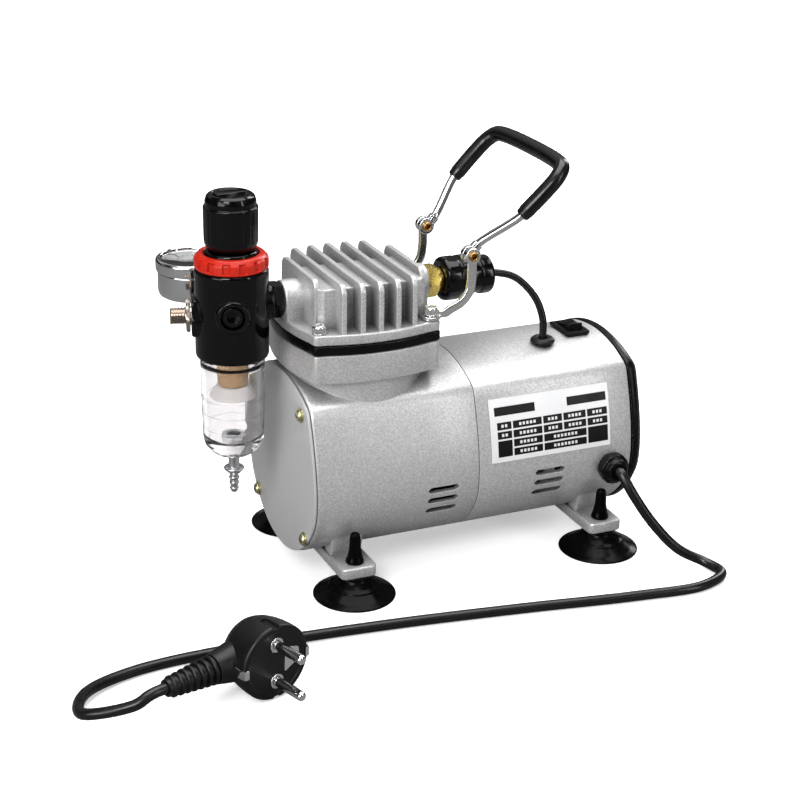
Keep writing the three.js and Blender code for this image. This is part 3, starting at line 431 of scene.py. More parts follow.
def surface(name, color, roughness, metallic=0.0, mottle=0.08, mottle_scale=60, grain=(1200, 0.15, 0.05),
        spread=0.06, wear=None, wear_width=0.5, coat=0.0, extra=(), specular=0.5):
    """General finish: mottled colour, uneven gloss, fine grain and, if asked for, worn edges.

    grain and each of extra are (noise scale, bump strength, depth in mm); wear is (colour, share).
    """
    g = Graph(name)
    cloud = g.noise(mottle_scale, 4.0)
    tone = g.blend(g.span(cloud, 0.0, 1.0), shade(color, 1 - mottle), shade(color, 1 + mottle))
    rough = g.span(g.noise(mottle_scale * 2.3, 5.0), roughness - spread, roughness + spread)
    if wear:
        broken = g.math("MULTIPLY", g.edge(wear_width), g.span(g.noise(900, 4.0), 0.0, 1.0, 0.42, 0.6))
        tone = g.blend(g.math("MULTIPLY", broken, wear[1]), tone, wear[0])
        rough = g.math("SUBTRACT", rough, g.math("MULTIPLY", broken, 0.1))
    g.set(Base_Color=tone, Roughness=rough, Metallic=metallic, Specular_IOR_Level=specular,
        Coat_Weight=coat, Coat_Roughness=0.08)
    scale, strength, depth = grain
    g.bump([(g.noise(scale, 3.0), strength, depth), *[(g.noise(s, 2.0), k, d) for s, k, d in extra]])
    return g.material


def sparkle_paint():
    """Silver metal-flake paint over cast metal: bright specks, orange peel, rubbed edges with a painted
    highlight, painted shade in crevices.
    """
    g = Graph("silver_sparkle_paint")
    flake = g.node("ShaderNodeSeparateColor", {"Color": g.cells(1900)}).outputs[0]
    speck = g.span(flake, 0.0, 1.0, 0.1, 0.95)
    cloud = g.span(g.noise(34, 4.0), 0.0, 1.0)
    tone = g.blend(speck, rgb(0.40), rgb(0.60))
    tone = g.blend(g.math("MULTIPLY", cloud, 0.15), tone, rgb(0.58))
    # Pale edges: partly rubbed-through paint, partly a painted highlight along fin and shoulder edges.
    edge = g.math("MULTIPLY", g.edge(0.8), g.span(g.noise(500, 4.0), 0.25, 1.0, 0.35, 0.65))
    tone = g.blend(g.math("MULTIPLY", edge, 0.5), tone, rgb(0.82))
    # Painted shade: ambient occlusion darkens the paint in the deep gaps between fins and in other
    # crevices.
    painted_crevice_shade = g.node("ShaderNodeAmbientOcclusion", {"Distance": 16 * MM}, samples=6).outputs["AO"]
    tone = g.blend(g.span(painted_crevice_shade, 0.75, 0.0, 0.12, 0.6), tone, rgb(0.03))
    g.set(Base_Color=tone, Metallic=0.62)
    rough = g.math("ADD", g.span(flake, 0.46, 0.38, 0.0, 1.0), g.math("MULTIPLY", cloud, 0.05))
    g.set(Roughness=rough, Coat_Weight=0.25, Coat_Roughness=0.22)
    soft = g.node("ShaderNodeBevel", {"Radius": 0.5 * MM}, samples=4).outputs["Normal"]
    g.bump([(g.noise(620, 3.0), 0.2, 0.1), (flake, 0.05, 0.04)], normal=soft)
    return g.material


def clear_plastic(name, tint, roughness):
    """Clear moulded plastic with faint flow lines and small scratches."""
    g = Graph(name)
    uneven = g.span(g.noise(300, 5.0), roughness, roughness + 0.05)
    g.set(Base_Color=tint, Transmission_Weight=1.0, IOR=1.46, Roughness=uneven)
    g.bump([(g.noise(90, 2.0), 0.06, 0.1)])
    return g.material


def sintered():
    """Porous sintered bronze: packed grains with dark pores."""
    g = Graph("sintered_bronze")
    grain = g.cells(1700, "Distance")
    tone = g.blend(g.span(grain, 0.0, 1.0, 0.1, 0.7), rgb(0.66, 0.42, 0.19), rgb(0.36, 0.2, 0.08))
    tone = g.blend(g.span(g.noise(200, 3.0), 0.0, 0.4), tone, rgb(0.74, 0.5, 0.25))
    g.set(Base_Color=tone, Metallic=0.25, Roughness=0.7)
    g.bump([(grain, 0.6, 0.25)])
    return g.material


def brushed(name, color, roughness, direction=(1, 1, 14)):
    """Metal drawn or turned one way: stretched noise gives fine lines."""
    g = Graph(name)
    scaled = g.node("ShaderNodeMapping", {"Vector": g.place, "Scale": direction}).outputs["Vector"]
    line = g.node("ShaderNodeTexNoise", {"Vector": scaled, "Scale": 700.0, "Detail": 4.0}).outputs["Fac"]
    g.set(Base_Color=g.blend(g.span(g.noise(80, 4.0), 0, 1), shade(color, 0.9), shade(color, 1.08)),
        Metallic=1.0, Roughness=g.span(line, roughness - 0.07, roughness + 0.09))
    g.bump([(line, 0.05, 0.02)])
    return g.material


PALE_EDGE = (rgb(0.34, 0.34, 0.35), 0.35)
SILVER = sparkle_paint()
COVER_GREY = surface("satin_grey_paint", rgb(0.40, 0.40, 0.404), 0.42, 0.2, 0.035, 30, (700, 0.1, 0.06),
    wear=(rgb(0.75), 0.5), coat=0.2)
BLACK_MOULDED = surface("moulded_black", rgb(0.0012), 0.3, 0, 0.25, 90, (1600, 0.25, 0.04), 0.08, PALE_EDGE,
    0.35, specular=0.16)
BLACK_GLOSS = surface("gloss_black", rgb(0.0015), 0.12, 0, 0.2, 50, (260, 0.05, 0.06), 0.05,
    (rgb(0.2), 0.2), 0.3, coat=0.12, specular=0.18)
RUBBER = surface("black_rubber", rgb(0.002), 0.42, 0, 0.3, 70, (1500, 0.3, 0.05), 0.1, (rgb(0.1), 0.3), 0.5,
    specular=0.3)
SUCTION_RUBBER = surface("suction_rubber", rgb(0.0012), 0.2, 0, 0.3, 70, (500, 0.1, 0.05), 0.07,
    (rgb(0.08), 0.25), 0.5, specular=0.06)
GRIP = surface("grip_sleeve", rgb(0.003), 0.25, 0, 0.3, 60, (900, 0.35, 0.06), 0.08, (rgb(0.12), 0.3), 0.6,
    specular=0.4)
CORD = surface("pvc_cord", rgb(0.004), 0.28, 0, 0.25, 50, (900, 0.12, 0.04), 0.06, specular=0.35)
RED = surface("red_moulded", rgb(0.42, 0.012, 0.003), 0.32, 0, 0.1, 80, (700, 0.12, 0.05), 0.07,
    (rgb(0.8, 0.12, 0.07), 0.35), 0.35, specular=0.3)
WHITE = surface("white_moulded", rgb(0.86, 0.85, 0.82), 0.38, 0, 0.03, 80, (900, 0.08, 0.04))
PRINT_WHITE = surface("label_white", rgb(0.62, 0.622, 0.63), 0.35, 0.1, 0.03, 60, (800, 0.05, 0.03))
PRINT_BLACK = surface("label_black", rgb(0.002), 0.34, 0, 0.2, 60, (800, 0.05, 0.03), specular=0.2)
CHROME = surface("chrome_plate", rgb(0.72, 0.725, 0.73), 0.09, 1, 0.06, 40, (300, 0.05, 0.05), 0.05,
    extra=((1800, 0.04, 0.02),))
SATIN_NICKEL = brushed("satin_nickel", rgb(0.8, 0.8, 0.79), 0.2)
STEEL = brushed("turned_steel", rgb(0.5, 0.49, 0.47), 0.28)
DARK_STEEL = brushed("dark_steel", rgb(0.09, 0.09, 0.095), 0.3)
NICKEL = brushed("warm_nickel", rgb(0.5, 0.43, 0.38), 0.16, (14, 1, 1))
BRASS = brushed("brass", rgb(0.56, 0.42, 0.11), 0.27, (14, 1, 1))
SCREW_BRASS = brushed("screw_brass", rgb(0.45, 0.27, 0.1), 0.24)
YELLOW_ZINC = brushed("yellow_zinc", rgb(0.60, 0.58, 0.36), 0.26)
ALUMINIUM = brushed("machined_aluminium", rgb(0.62, 0.63, 0.64), 0.3)
BRONZE = sintered()
BOWL_CLEAR = clear_plastic("clear_bowl", rgb(0.78, 0.765, 0.77), 0.02)
LENS_CLEAR = clear_plastic("clear_lens", rgb(0.99), 0.01)


# ---------------------------------------------------------------- housing

AXIS_Z = centre("rotor_shaft").z
HOUSING_FRONT = high("front_cover").x + 0.3
HOUSING_SEAM = -3
HOUSING_REAR = low("rear_cover").x + 3.7
CYLINDER_X = centre("cylinder_liner").x
CROWN_Z = 110.5
SHOULDER = Vector((37, 100.5))


def body_outline(amount=0.0):
    """Section of the housing in (y, z): crown arc, bowed sides and round bottom, with soft shoulders."""
    rise = CROWN_Z - SHOULDER.y
    radius = (SHOULDER.x ** 2 + rise ** 2) / (2 * rise)
    half = math.asin(SHOULDER.x / radius)
    low_angle = math.radians(23.5)
    low_radius = 49.8
    crown = []
    for i in range(25):
        angle = math.pi / 2 - half + 2 * half * i / 24
        crown.append(Vector((radius * math.cos(angle), CROWN_Z - radius + radius * math.sin(angle))))
    corner = Vector((-low_radius * math.cos(low_angle), AXIS_Z - low_radius * math.sin(low_angle)))
    side = arc(crown[-1], (-52.08, 60), corner, 20)
    bottom = []
    for i in range(41):
        angle = math.pi + low_angle + (math.pi - 2 * low_angle) * i / 40
        bottom.append(Vector((low_radius * math.cos(angle), AXIS_Z + low_radius * math.sin(angle))))
    mirrored = [Vector((-p.x, p.y)) for p in reversed(side)]
    outline = crown + side + bottom + mirrored
    for k in (0, 24):
        before, after = outline[k - 1], outline[k + 1]
        outline[k] = outline[k] * 0.7 + (before + after) * 0.15
    return inset(counter_clockwise(outline), amount)


def ring_shell(name, loop):
    """Hollow length of housing from a closed loop of (x, inset) points."""
    return skin(name, [[(x, p.x, p.y) for p in body_outline(amount)] for x, amount in loop],
        closed_rings=True)


HEAD_BOW = 184


def head_outline(half):
    """Square with bowed sides and small round corners, about the cylinder axis."""
    reach = half - 10.5
    line = []
    for i in range(9):
        t = reach * (i / 4 - 1)
        line.append(Vector((t, t * t / HEAD_BOW - half)))
    corner = Vector((half - reach ** 2 / HEAD_BOW, reach ** 2 / HEAD_BOW - half))
    quarter = line + [corner * 0.985]
    turns = [Matrix.Rotation(k * math.pi / 2, 2) for k in range(4)]
    points = [turn @ p for turn in turns for p in quarter]
    rounded = soften(points, 4.6, 4, closed=True)
    return [p + Vector((CYLINDER_X, 0)) for p in rounded]


VENT_HEIGHTS = (51.5, 45.4, 38.9)


def vents(x):
    """Long pointed slots through both sides."""
    half, tip = 1.6, 9.0
    slots = []
    for z in VENT_HEIGHTS:
        outline = [(x - tip, z), (x - tip + half, z - half), (x + tip - half, z - half), (x + tip, z),
            (x + tip - half, z + half), (x - tip + half, z + half)]
        slots.append(slab("vent", soften(outline, 0.5, 2, True), "y", -60, 60, 0.1, 1))
    return slots


FOOT_RADIUS = 21.5


def cross_foot(name, x):
    """Flat lug bar under the housing with a web up to the wall at each side, drilled for the feet."""
    foot_y = high("foot_3").y - FOOT_RADIUS
    bar = slab(name, rectangle(x, 0, 19.6, 107, 4.0, 5), "z", 12, 18, 0.9)
    for side in (-1, 1):
        half_web = ((26, 16.5), (34, 16.5), (34.8, 20), (36.6, 27), (37.4, 30), (26, 30))
        web = [(side * y, z) for y, z in half_web]
        fuse(bar, slab(name + "_web", soften(web, 1.0, 3, True), "x", x - 8.6, x + 8.6, 0.9))
        carve(bar, revolve(name + "_hole", [(0, 0), (4, 0), (4, 30), (0, 30)], (x, side * foot_y, 0),
            sides=40, rounding=0))
    return bar


def plain_rod(radius, start, end, sides=48):
    """Straight round rod between two points, for bores and bosses."""
    axis = Vector(end) - Vector(start)
    profile = [(0, 0), (radius, 0), (radius, axis.length), (0, axis.length)]
    return revolve("rod", profile, start, axis, sides, 0)


def build_front_housing():
    end = HOUSING_SEAM - 0.15
    shell = ring_shell("front_shell", [(HOUSING_FRONT, 3.2), (HOUSING_FRONT, 1.3),
        (HOUSING_FRONT + 0.3, 0.55), (HOUSING_FRONT + 1, 0.12), (HOUSING_FRONT + 2, 0), (-60, 0), (-30, 0),
        (end - 0.5, 0), (end - 0.12, 0.12), (end, 0.5), (end, 3.2)])
    flange = slab("flange", head_outline(39.2), "z", 113, 128.2, 0.9, 4)
    neck = revolve("neck", [(0, 92), (36.3, 92), (36.3, 106), (36.5, 112), (36.8, 113.6), (36.8, 116),
        (0, 116)], (CYLINDER_X, 0, 0), rounding=0.6, steps=3)
    fuse(shell, neck, flange, cross_foot("front_foot_bar", -72))
    for y, z in COVER_SCREWS:
        boss = plain_rod(5, (HOUSING_FRONT + 0.05, y * 0.97, AXIS_Z + (z - AXIS_Z) * 0.97),
            (HOUSING_FRONT + 12, y * 0.97, AXIS_Z + (z - AXIS_Z) * 0.97), 24)
        fuse(shell, boss)
        carve(shell, plain_rod(1.9, (HOUSING_FRONT - 1, y, z), (HOUSING_FRONT + 10, y, z), 16))
    carve(shell, plain_rod(22.3, (CYLINDER_X, 0, 88), (CYLINDER_X, 0, 131), 64), *vents(-23))
    piece(shell, "silver_paint", SILVER, "front_housing")
    shell.name = "front_housing_cast"


def build_rear_housing():
    start = HOUSING_SEAM + 0.15
    end = HOUSING_REAR
    shell = ring_shell("rear_shell", [(start, 3.2), (start, 0.5), (start + 0.12, 0.12), (start + 0.5, 0),
        (30, 0), (60, 0), (end - 1, 0), (end - 0.3, 0.3), (end, 1), (end, 3.2)])
    fuse(shell, cross_foot("rear_foot_bar", 72))
    rocker = centre("rocker_frame")
    lead = centre("lead_grommet")
    gland = centre("cable_gland")
    carve(shell, block("opening", rocker.x - 6, rocker.x + 6, -9.9, 9.9, 100, 125, 0.2),
        block("seat", rocker.x - 7.5, rocker.x + 7.5, -11, 11, 110.1, 125, 0.2),
        plain_rod(4.6, (lead.x, lead.y, 100), (lead.x, lead.y, 120), 32),
        plain_rod(5.2, (gland.x, -60, gland.z), (gland.x, -35, gland.z), 40), *vents(39))
    piece(shell, "silver_paint", SILVER, "rear_housing")
    shell.name = "rear_housing_cast"


COVER_SCREWS = [tuple(centre(f"cover_screw_{i}").yz) for i in (1, 2, 3, 4)]


def build_front_cover():
    face = low("front_cover").x
    cover = slab("front_cover_sheet", body_outline(0.45), "x", face, face + 1.5, 0.45, 4)
    for y, z in COVER_SCREWS:
        carve(cover, plain_rod(2.2, (face - 2, y, z), (face + 3, y, z), 24))
    piece(cover, "cover_paint", COVER_GREY, "front_cover")
    seat = face - 0.05
    washer = [(2.4, 0), (3.9, 0), (3.9, 0.5), (2.4, 0.5)]
    head = [(0, -8), (1.6, -8), (1.6, 0.2), (2.9, 0.5), (3.05, 1.3), (2.3, 2.3), (0, 2.6)]
    for i, (y, z) in enumerate(COVER_SCREWS):
        screw = revolve(f"cover_screw_{i + 1}_head", head, (seat, y, z), (-1, 0, 0), 48, 0.35)
        for w, h in ((1.7, 0.35), (0.35, 1.7)):
            carve(screw, block("arm", seat - 4, seat - 1.3, y - w, y + w, z - h, z + h, 0.1))
        ring = revolve("washer", washer, (seat, y, z), (-1, 0, 0), 48, 0.15)
        piece(merge(f"cover_screw_{i + 1}_set", screw, ring), "yellow_zinc", YELLOW_ZINC,
            f"cover_screw_{i + 1}")


def build_rear_cover():
    start = HOUSING_REAR + 0.3
    cap = ring_shell("rear_cap", ((start - 3.8, 5.6), (start - 3.8, 3.6), (start, 3.5), (start, 0.1),
        (start + 0.2, -0.25), (start + 0.7, -0.4), (start + 3.2, -0.4), (start + 3.8, -0.1),
        (start + 4.2, 0.8), (start + 6.6, 2.6), (start + 7.1, 3.6), (start + 7.2, 5), (start + 7.2, 9),
        (start + 5, 9), (start + 4.6, 5.6)))
    panel = slab("panel", body_outline(8), "x", start + 5, start + 7.2, 0.3)
    fuse(cap, panel)
    for i in range(7):
        y = (i - 3) * 8
        half = math.sqrt(34 ** 2 - y ** 2)
        outline = rectangle(y, AXIS_Z, 3.4, 2 * half, 1.6, 4)
        carve(cap, slab("slot", outline, "x", start + 1, start + 12, 0.1, 1))
    piece(cap, "black_plastic", BLACK_MOULDED, "rear_cover")


def build_feet():
    """Suction feet: cup, cone, waist through the lug and a flared stem."""
    profile = [(0, 3.6), (12, 3.0), (18.9, 0.02), (21.2, 0.0), (FOOT_RADIUS, 0.5), (21.1, 1.0), (18, 2.5),
        (13.6, 5.3), (13.2, 5.9), (11.4, 6.9), (9, 9), (8, 10.4), (7.9, 11.8), (3.7, 11.85), (3.7, 18.15),
        (4.7, 18.2), (4.75, 19.2), (3.9, 21.6), (3.1, 25.5), (2.85, 31.5), (2.3, 34.3), (0, 35.05)]
    for i in (1, 2, 3, 4):
        where = centre(f"foot_{i}")
        foot = revolve(f"foot_{i}_rubber", profile, (where.x, where.y, 0), rounding=0.8, steps=4)
        piece(foot, "black_rubber", SUCTION_RUBBER, f"foot_{i}", angle=50)


# ---------------------------------------------------------------- cylinder head

HEAD_LOW = low("cylinder_head").z
HEAD_TOP = 138.8
FIN_TOP = high("cylinder_head").z
PORT_Z = centre("inlet_nipple").z


def build_head():
    plate = slab("valve_plate_gasket", head_outline(39.5), "z", 128.5, 133.2, 0.7, 3)
    piece(plate, "black_plastic", BLACK_MOULDED, "valve_plate")
    head = slab("head_base", head_outline(39.2), "z", HEAD_LOW, HEAD_TOP, 0.9, 4)
    x = CYLINDER_X
    root = HEAD_TOP - 2
    port = [(0, 0), (9.3, 0), (9.6, 1), (9.6, 40), (0, 40)]
    parts = [
        block("deck", x - 28.7, x + 28.7, -26.5, 13, root, 159.6, 0.9),
        block("low_deck", x - 28.7, x + 28.7, 12, 27, root, 147, 1),
        revolve("front_port", port, (-95, 0, PORT_Z), (1, 0, 0), 64, 0.9),
        revolve("rear_port", port, (-16, 0, PORT_Z), (-1, 0, 0), 64, 0.9),
        block("front_saddle", -94.4, -70, -8.6, 8.6, root, PORT_Z, 1),
        block("rear_saddle", -40, -16.6, -8.6, 8.6, root, PORT_Z, 1),
    ]
    for i in range(7):
        offset = (i - 3) * 9.55
        half = 23.5 if i in (0, 6) else 38 - offset ** 2 / HEAD_BOW
        outline = [(-half, root), (half, root), (half - 0.5, FIN_TOP - 3.2), (half - 3.2, FIN_TOP),
            (3.2 - half, FIN_TOP), (0.5 - half, FIN_TOP - 3.2)]
        fin_x = x + offset
        parts.append(slab("fin", soften(outline, 1.6, 4, True), "x", fin_x - 1.35, fin_x + 1.35, 0.5))
    fuse(head, *parts)
    cutters = []
    for i in (1, 2, 3, 4):
        bolt = centre(f"head_bolt_{i}")
        cutters.append(plain_rod(5.5, (bolt.x, bolt.y, HEAD_TOP + 0.02), (bolt.x, bolt.y, 170), 40))
        cutters.append(plain_rod(2.7, (bolt.x, bolt.y, 130), (bolt.x, bolt.y, 170), 24))
    carve(head, *cutters, plain_rod(5.1, (-100, 0, PORT_Z), (-81, 0, PORT_Z), 40),
        plain_rod(5.1, (-10, 0, PORT_Z), (-30, 0, PORT_Z), 40))
    piece(head, "silver_paint", SILVER, "cylinder_head")
    build_head_bolts()


def build_head_bolts():
    """Socket cap screws with knurled heads; the two at the rear also hold the handle brackets."""
    profile = [(0, -20), (2.4, -20), (2.4, 0), (3.5, 0), (3.5, 0.5), (3.5, 3.5), (3.1, 4.3), (2.1, 4.4),
        (1.9, 4.2), (1.85, 2), (0, 1.6)]

    def shape(r, h, angle):
        if r < 2.2 and h > 1:
            return polygon_radius(r, angle, 6)
        return r - 0.12 * (1 + math.cos(36 * angle)) if r > 3.3 and 0.5 < h < 3.5 else r

    for i in (1, 2, 3, 4):
        where = centre(f"head_bolt_{i}")
        seat = high(f"head_bolt_{i}").z - 4.4
        cap = revolve(f"head_bolt_{i}_cap", profile, (where.x, where.y, seat), sides=144, rounding=0.25,
            shape=shape)
        piece(cap, "chrome", SATIN_NICKEL, f"head_bolt_{i}")


# ---------------------------------------------------------------- filter regulator

REG = Vector((centre("adjusting_spindle").x, centre("adjusting_spindle").y, 0))
REG_LOW = low("regulator_body").z
REG_TOP = 168.4
OUTLET = heading(163)
PLUG_AWAY = heading(-108)
GAUGE = Vector((centre("gauge_case").x, centre("gauge_dial").y, 0))
TO_GAUGE = (GAUGE - REG).normalized()
OUTLET_Z = 143.2
PLUG_Z = 148
GAUGE_PORT_Z = 146


def on_axis(z):
    return REG + Vector((0, 0, z))


def off_axis(direction, distance, z):
    return on_axis(z) + direction * distance


def build_regulator_body():
    body = revolve("regulator_cast", [(0, REG_LOW), (17, REG_LOW), (18.2, REG_LOW + 0.5),
        (18.5, REG_LOW + 2), (18.5, 160), (18.5, REG_TOP - 1), (17.9, REG_TOP), (13.3, REG_TOP),
        (13.3, 176.4), (12.6, 177.4), (6.5, 177.4), (6.5, 185.2), (0, 185.4)], REG, sides=128, rounding=0.6,
        steps=4)

    def boss(direction, z, radius, reach, flats=None):
        shape = hexagonal(flats) if flats else None
        line = [(0, 0), (radius, 0), (radius, reach - 6), (radius - 0.8, reach - 5), (0, reach - 5)]
        return revolve("boss", line, off_axis(direction, 5, z), direction, 96, 0.7, shape=shape)

    fuse(body, boss(PLUG_AWAY, PLUG_Z, 8.5, 20), boss(OUTLET, OUTLET_Z, 11, 20.2, 19.4),
        boss(Vector((1, 0, 0)), PORT_Z, 10, 19.8), boss(TO_GAUGE, GAUGE_PORT_Z, 8.4, 20, 15.4))
    bores = [(PLUG_AWAY, PLUG_Z, 6.3), (OUTLET, OUTLET_Z, 5), (Vector((1, 0, 0)), PORT_Z, 5.1),
        (TO_GAUGE, GAUGE_PORT_Z, 3.6)]
    for direction, z, radius in bores:
        carve(body, plain_rod(radius, off_axis(direction, 9, z), off_axis(direction, 30, z)))
    carve(body, plain_rod(12.8, on_axis(REG_LOW - 2), on_axis(136), 64),
        plain_rod(3.3, on_axis(162), on_axis(190)))
    piece(body, "black_gloss", BLACK_GLOSS, "regulator_body")


def build_collar():
    base = low("collar_nut").z

    def castle(r, h, angle):
        wave = math.cos(14 * angle + 0.4)
        return r - 1.3 * (1 - min(1.0, max(0.0, (wave + 0.3) * 6))) if r > 16.9 and 1.1 < h < 6 else r

    line = [(13.7, 0), (18.1, 0), (18.55, 0.6), (18.55, 1.6), (18.55, 4.9), (17.4, 6.1), (16.6, 7.0),
        (15.6, 7.55), (14.4, 7.6), (13.7, 7.0)]
    ring = revolve("collar_ring", line, on_axis(base), sides=280, rounding=0.35, shape=castle)
    piece(ring, "red_plastic", RED, "collar_nut", body="collar")


def build_knob():
    base, top = low("regulator_knob").z, high("regulator_knob").z
    height = top - base

    def flutes(r, h, angle):
        if r < 12.7 or not 4.5 < h < height - 7.6:
            return r
        wave = math.cos(18 * angle)
        return r - 0.32 * max(0.0, wave - 0.55) / 0.45

    knob = revolve("knob_cap", [(10.2, 0), (11.6, 0), (12.2, 0.3), (13.2, 2.6), (13.45, 4), (13.5, 5.4),
        (13.6, height - 8.6), (13.6, height - 7.3), (13.35, height - 6.9), (12.7, height - 6.7),
        (12.75, height - 6), (12.7, height - 4), (11.9, height - 1.7), (10.6, height - 0.75),
        (9.6, height - 0.65), (9.3, height - 1.25), (5, height - 1.3), (0.4, height - 1.3),
        (0.4, height - 3.4), (10, height - 4), (10.2, height - 6)], on_axis(base), sides=216, shape=flutes)
    plug = plain_rod(1.2, on_axis(top - 3.3), on_axis(top - 1.32), 24)
    wedge = [(-8, -3.8), (7.4, -1.5), (7.9, 0), (7.4, 1.5), (-8, 3.8), (-8.6, 0)]
    pointer = slab("pointer", [(REG.x + x, REG.y + y) for x, y in soften(wedge, 0.8, 3, True)], "z",
        top - 2, top, 0.5)
    drive = revolve("drive", [(3.2, 0), (4.6, 0), (4.6, 12), (3.2, 12)], on_axis(base + 13), sides=48,
        rounding=0)
    piece(merge("knob_cap", knob, plug, pointer, drive), "black_gloss", BLACK_GLOSS, "regulator_knob",
        body="knob")
    spindle = revolve("spindle_screw", [(0, 164), (2.6, 164), (3, 164.5), (3, 200), (0, 200)], REG,
        sides=48, rounding=0.2, shape=threaded(1.25, 0.3, 165, 187))
    piece(spindle, "steel", STEEL, "adjusting_spindle", body="spindle")


def build_bowl():
    bottom = low("filter_bowl").z
    top = REG_LOW - 0.3
    bowl = revolve("bowl_shell", [(3.4, bottom), (9.2, bottom), (12.3, bottom + 2.4), (14.7, bottom + 5.6),
        (15.5, bottom + 9), (16.25, top - 11), (16.3, top - 5), (16.3, top), (12.4, top), (12.4, top + 9),
        (10.4, top + 9), (10.4, top - 3.6), (14.1, top - 4.6), (14, top - 11), (13.3, bottom + 10.5),
        (9.4, bottom + 5.4), (6.6, bottom + 3), (3.4, bottom + 3)], REG, rounding=1.0, steps=5)
    for i in range(3):
        z = bottom + 15 + 8 * i
        r = 15.5 + 0.8 * (z - bottom - 9) / 30
        fuse(bowl, revolve("rib", [(r - 0.6, z), (r + 0.12, z + 0.2), (r + 0.12, z + 0.6),
            (r - 0.6, z + 0.8)], REG, rounding=0.1))
    piece(bowl, "clear_plastic", BOWL_CLEAR, "filter_bowl", body="bowl", angle=60)
    boss = centre("drain_boss")
    base = low("drain_boss").z
    nut = revolve("drain_nut", [(3.4, 0), (5.9, 0), (5.9, 5), (6.6, 5.3), (6.6, 6.6), (3.4, 6.8)],
        (boss.x, boss.y, base), shape=hexagonal(12))
    piece(nut, "steel", ALUMINIUM, "drain_boss", body="bowl")
    drain = revolve("drain_barb", [(0, 46.5), (1.5, 46.5), (2.5, 48.9), (1.9, 49.2), (1.9, 49.7),
        (2.7, 52.1), (1.95, 52.4), (1.95, 52.9), (2.9, 54.9), (2.1, 55.2), (2.2, 56.4), (5.0, 59.2),
        (5.3, 59.8), (5.3, 60.2), (5, 60.6), (3, 60.7), (2.85, 62), (2.85, 75.6), (0, 76)], REG, sides=64,
        rounding=0.2)
    piece(drain, "steel", ALUMINIUM, "drain_valve", body="drain")
    element = revolve("filter_sinter", [(4.5, 107), (7.4, 107), (7.7, 107.5), (7.7, 131), (4.5, 131)], REG,
        sides=72)
    piece(element, "bronze", BRONZE, "filter_element")
    disc = revolve("baffle_fins", [(0, 100.4), (11.2, 100.4), (11.8, 100.9), (11.8, 101.8), (10, 104),
        (8.4, 106), (7.6, 106.6), (0, 106.7)], REG, sides=128, rounding=0.2)
    piece(disc, "white_plastic", WHITE, "baffle_disc")


def digit(text, where):
    """Flat printed figure as a mesh."""
    curve = bpy.data.curves.new("figure", "FONT")
    curve.body = text
    curve.size = 2.9 * MM
    curve.align_x = curve.align_y = "CENTER"
    curve.extrude = 0.03 * MM
    made = linked("figure", curve)
    bpy.context.view_layer.update()
    mesh = final_mesh(made)
    bpy.data.objects.remove(made)
    mesh.transform(Matrix.Translation(where * MM + BASE))
    return linked("figure", mesh)


def build_gauge():
    top, bottom = high("gauge_case").z, low("gauge_case").z
    cup = revolve("gauge_cup", [(0, bottom), (14.6, bottom), (16.6, bottom + 1.2), (17.2, bottom + 3.4),
        (17.2, top - 7.2), (16.95, top - 6.9), (18, top - 6.5), (18.2, top - 5.8), (18.2, top - 1.2),
        (17.6, top - 0.2), (16.4, top), (15.9, top - 0.5), (15.7, top - 6.2), (15.6, bottom + 3),
        (0, bottom + 2.6)], GAUGE, sides=128, rounding=0.5, steps=4)
    stem = revolve("gauge_stem", [(0, 9), (3.3, 9), (3.3, 20), (7, 20.4), (7, 27.6), (3.4, 28), (3.3, 31.8),
        (0, 31.8)], on_axis(GAUGE_PORT_Z), TO_GAUGE, 96, 0.4, shape=hexagonal(10, 20.1, 27.8))
    fuse(cup, stem)
    piece(cup, "chrome", CHROME, "gauge_case")
    face = high("gauge_dial").z
    dial = revolve("dial_plate", [(2, face - 1), (15.2, face - 1), (15.2, face), (2, face)], GAUGE,
        rounding=0.1)
    piece(dial, "white_plastic", PRINT_WHITE, "gauge_dial")
    marks = []
    for i in range(41):
        long = i % 4 == 0
        inner, wide = (11.2, 0.26) if long else (12.3, 0.13)
        out = heading(225 - 270 * i / 40)
        side = Vector((-out.y, out.x, 0)) * wide
        corners = [out * inner + side, out * 13.6 + side, out * 13.6 - side, out * inner - side]
        tick = [(GAUGE + c).xy for c in corners]
        marks.append(slab("tick", tick, "z", face + 0.01, face + 0.06, 0.005, 1))
        if i % 8 == 0:
            spot = GAUGE + out * 8.9 + Vector((0, 0, face + 0.04))
            marks.append(digit(str(i // 4), spot))
    piece(merge("dial_marks", *marks), "black_plastic", PRINT_BLACK)
    lens = revolve("gauge_glass", [(0, top - 2.1), (15.4, top - 2.1), (15.4, top - 1), (8, top - 0.75),
        (0, top - 0.7)], GAUGE, rounding=0.2)
    piece(lens, "clear_plastic", LENS_CLEAR, "gauge_lens", angle=50)
    height = centre("gauge_needle").z
    aim = heading(-135)
    side = Vector((-aim.y, aim.x, 0))
    shape = [aim * -4.4 + side * 1.0, aim * -4.4 - side * 1.0, aim * 2 - side * 0.75,
        aim * 11.9 - side * 0.16, aim * 11.9 + side * 0.16, aim * 2 + side * 0.75]
    blade = slab("blade", [(GAUGE + c).xy for c in shape], "z", height - 0.25, height + 0.25, 0.08, 2)
    hub = revolve("hub", [(0, -0.8), (1.9, -0.8), (2, 0.3), (1.3, 0.8), (0, 0.85)],
        GAUGE + Vector((0, 0, height)), sides=48, rounding=0.2)
    piece(fuse(blade, hub), "black_plastic", BLACK_MOULDED, "gauge_needle", body="needle")
    blade.name = "needle_blade"


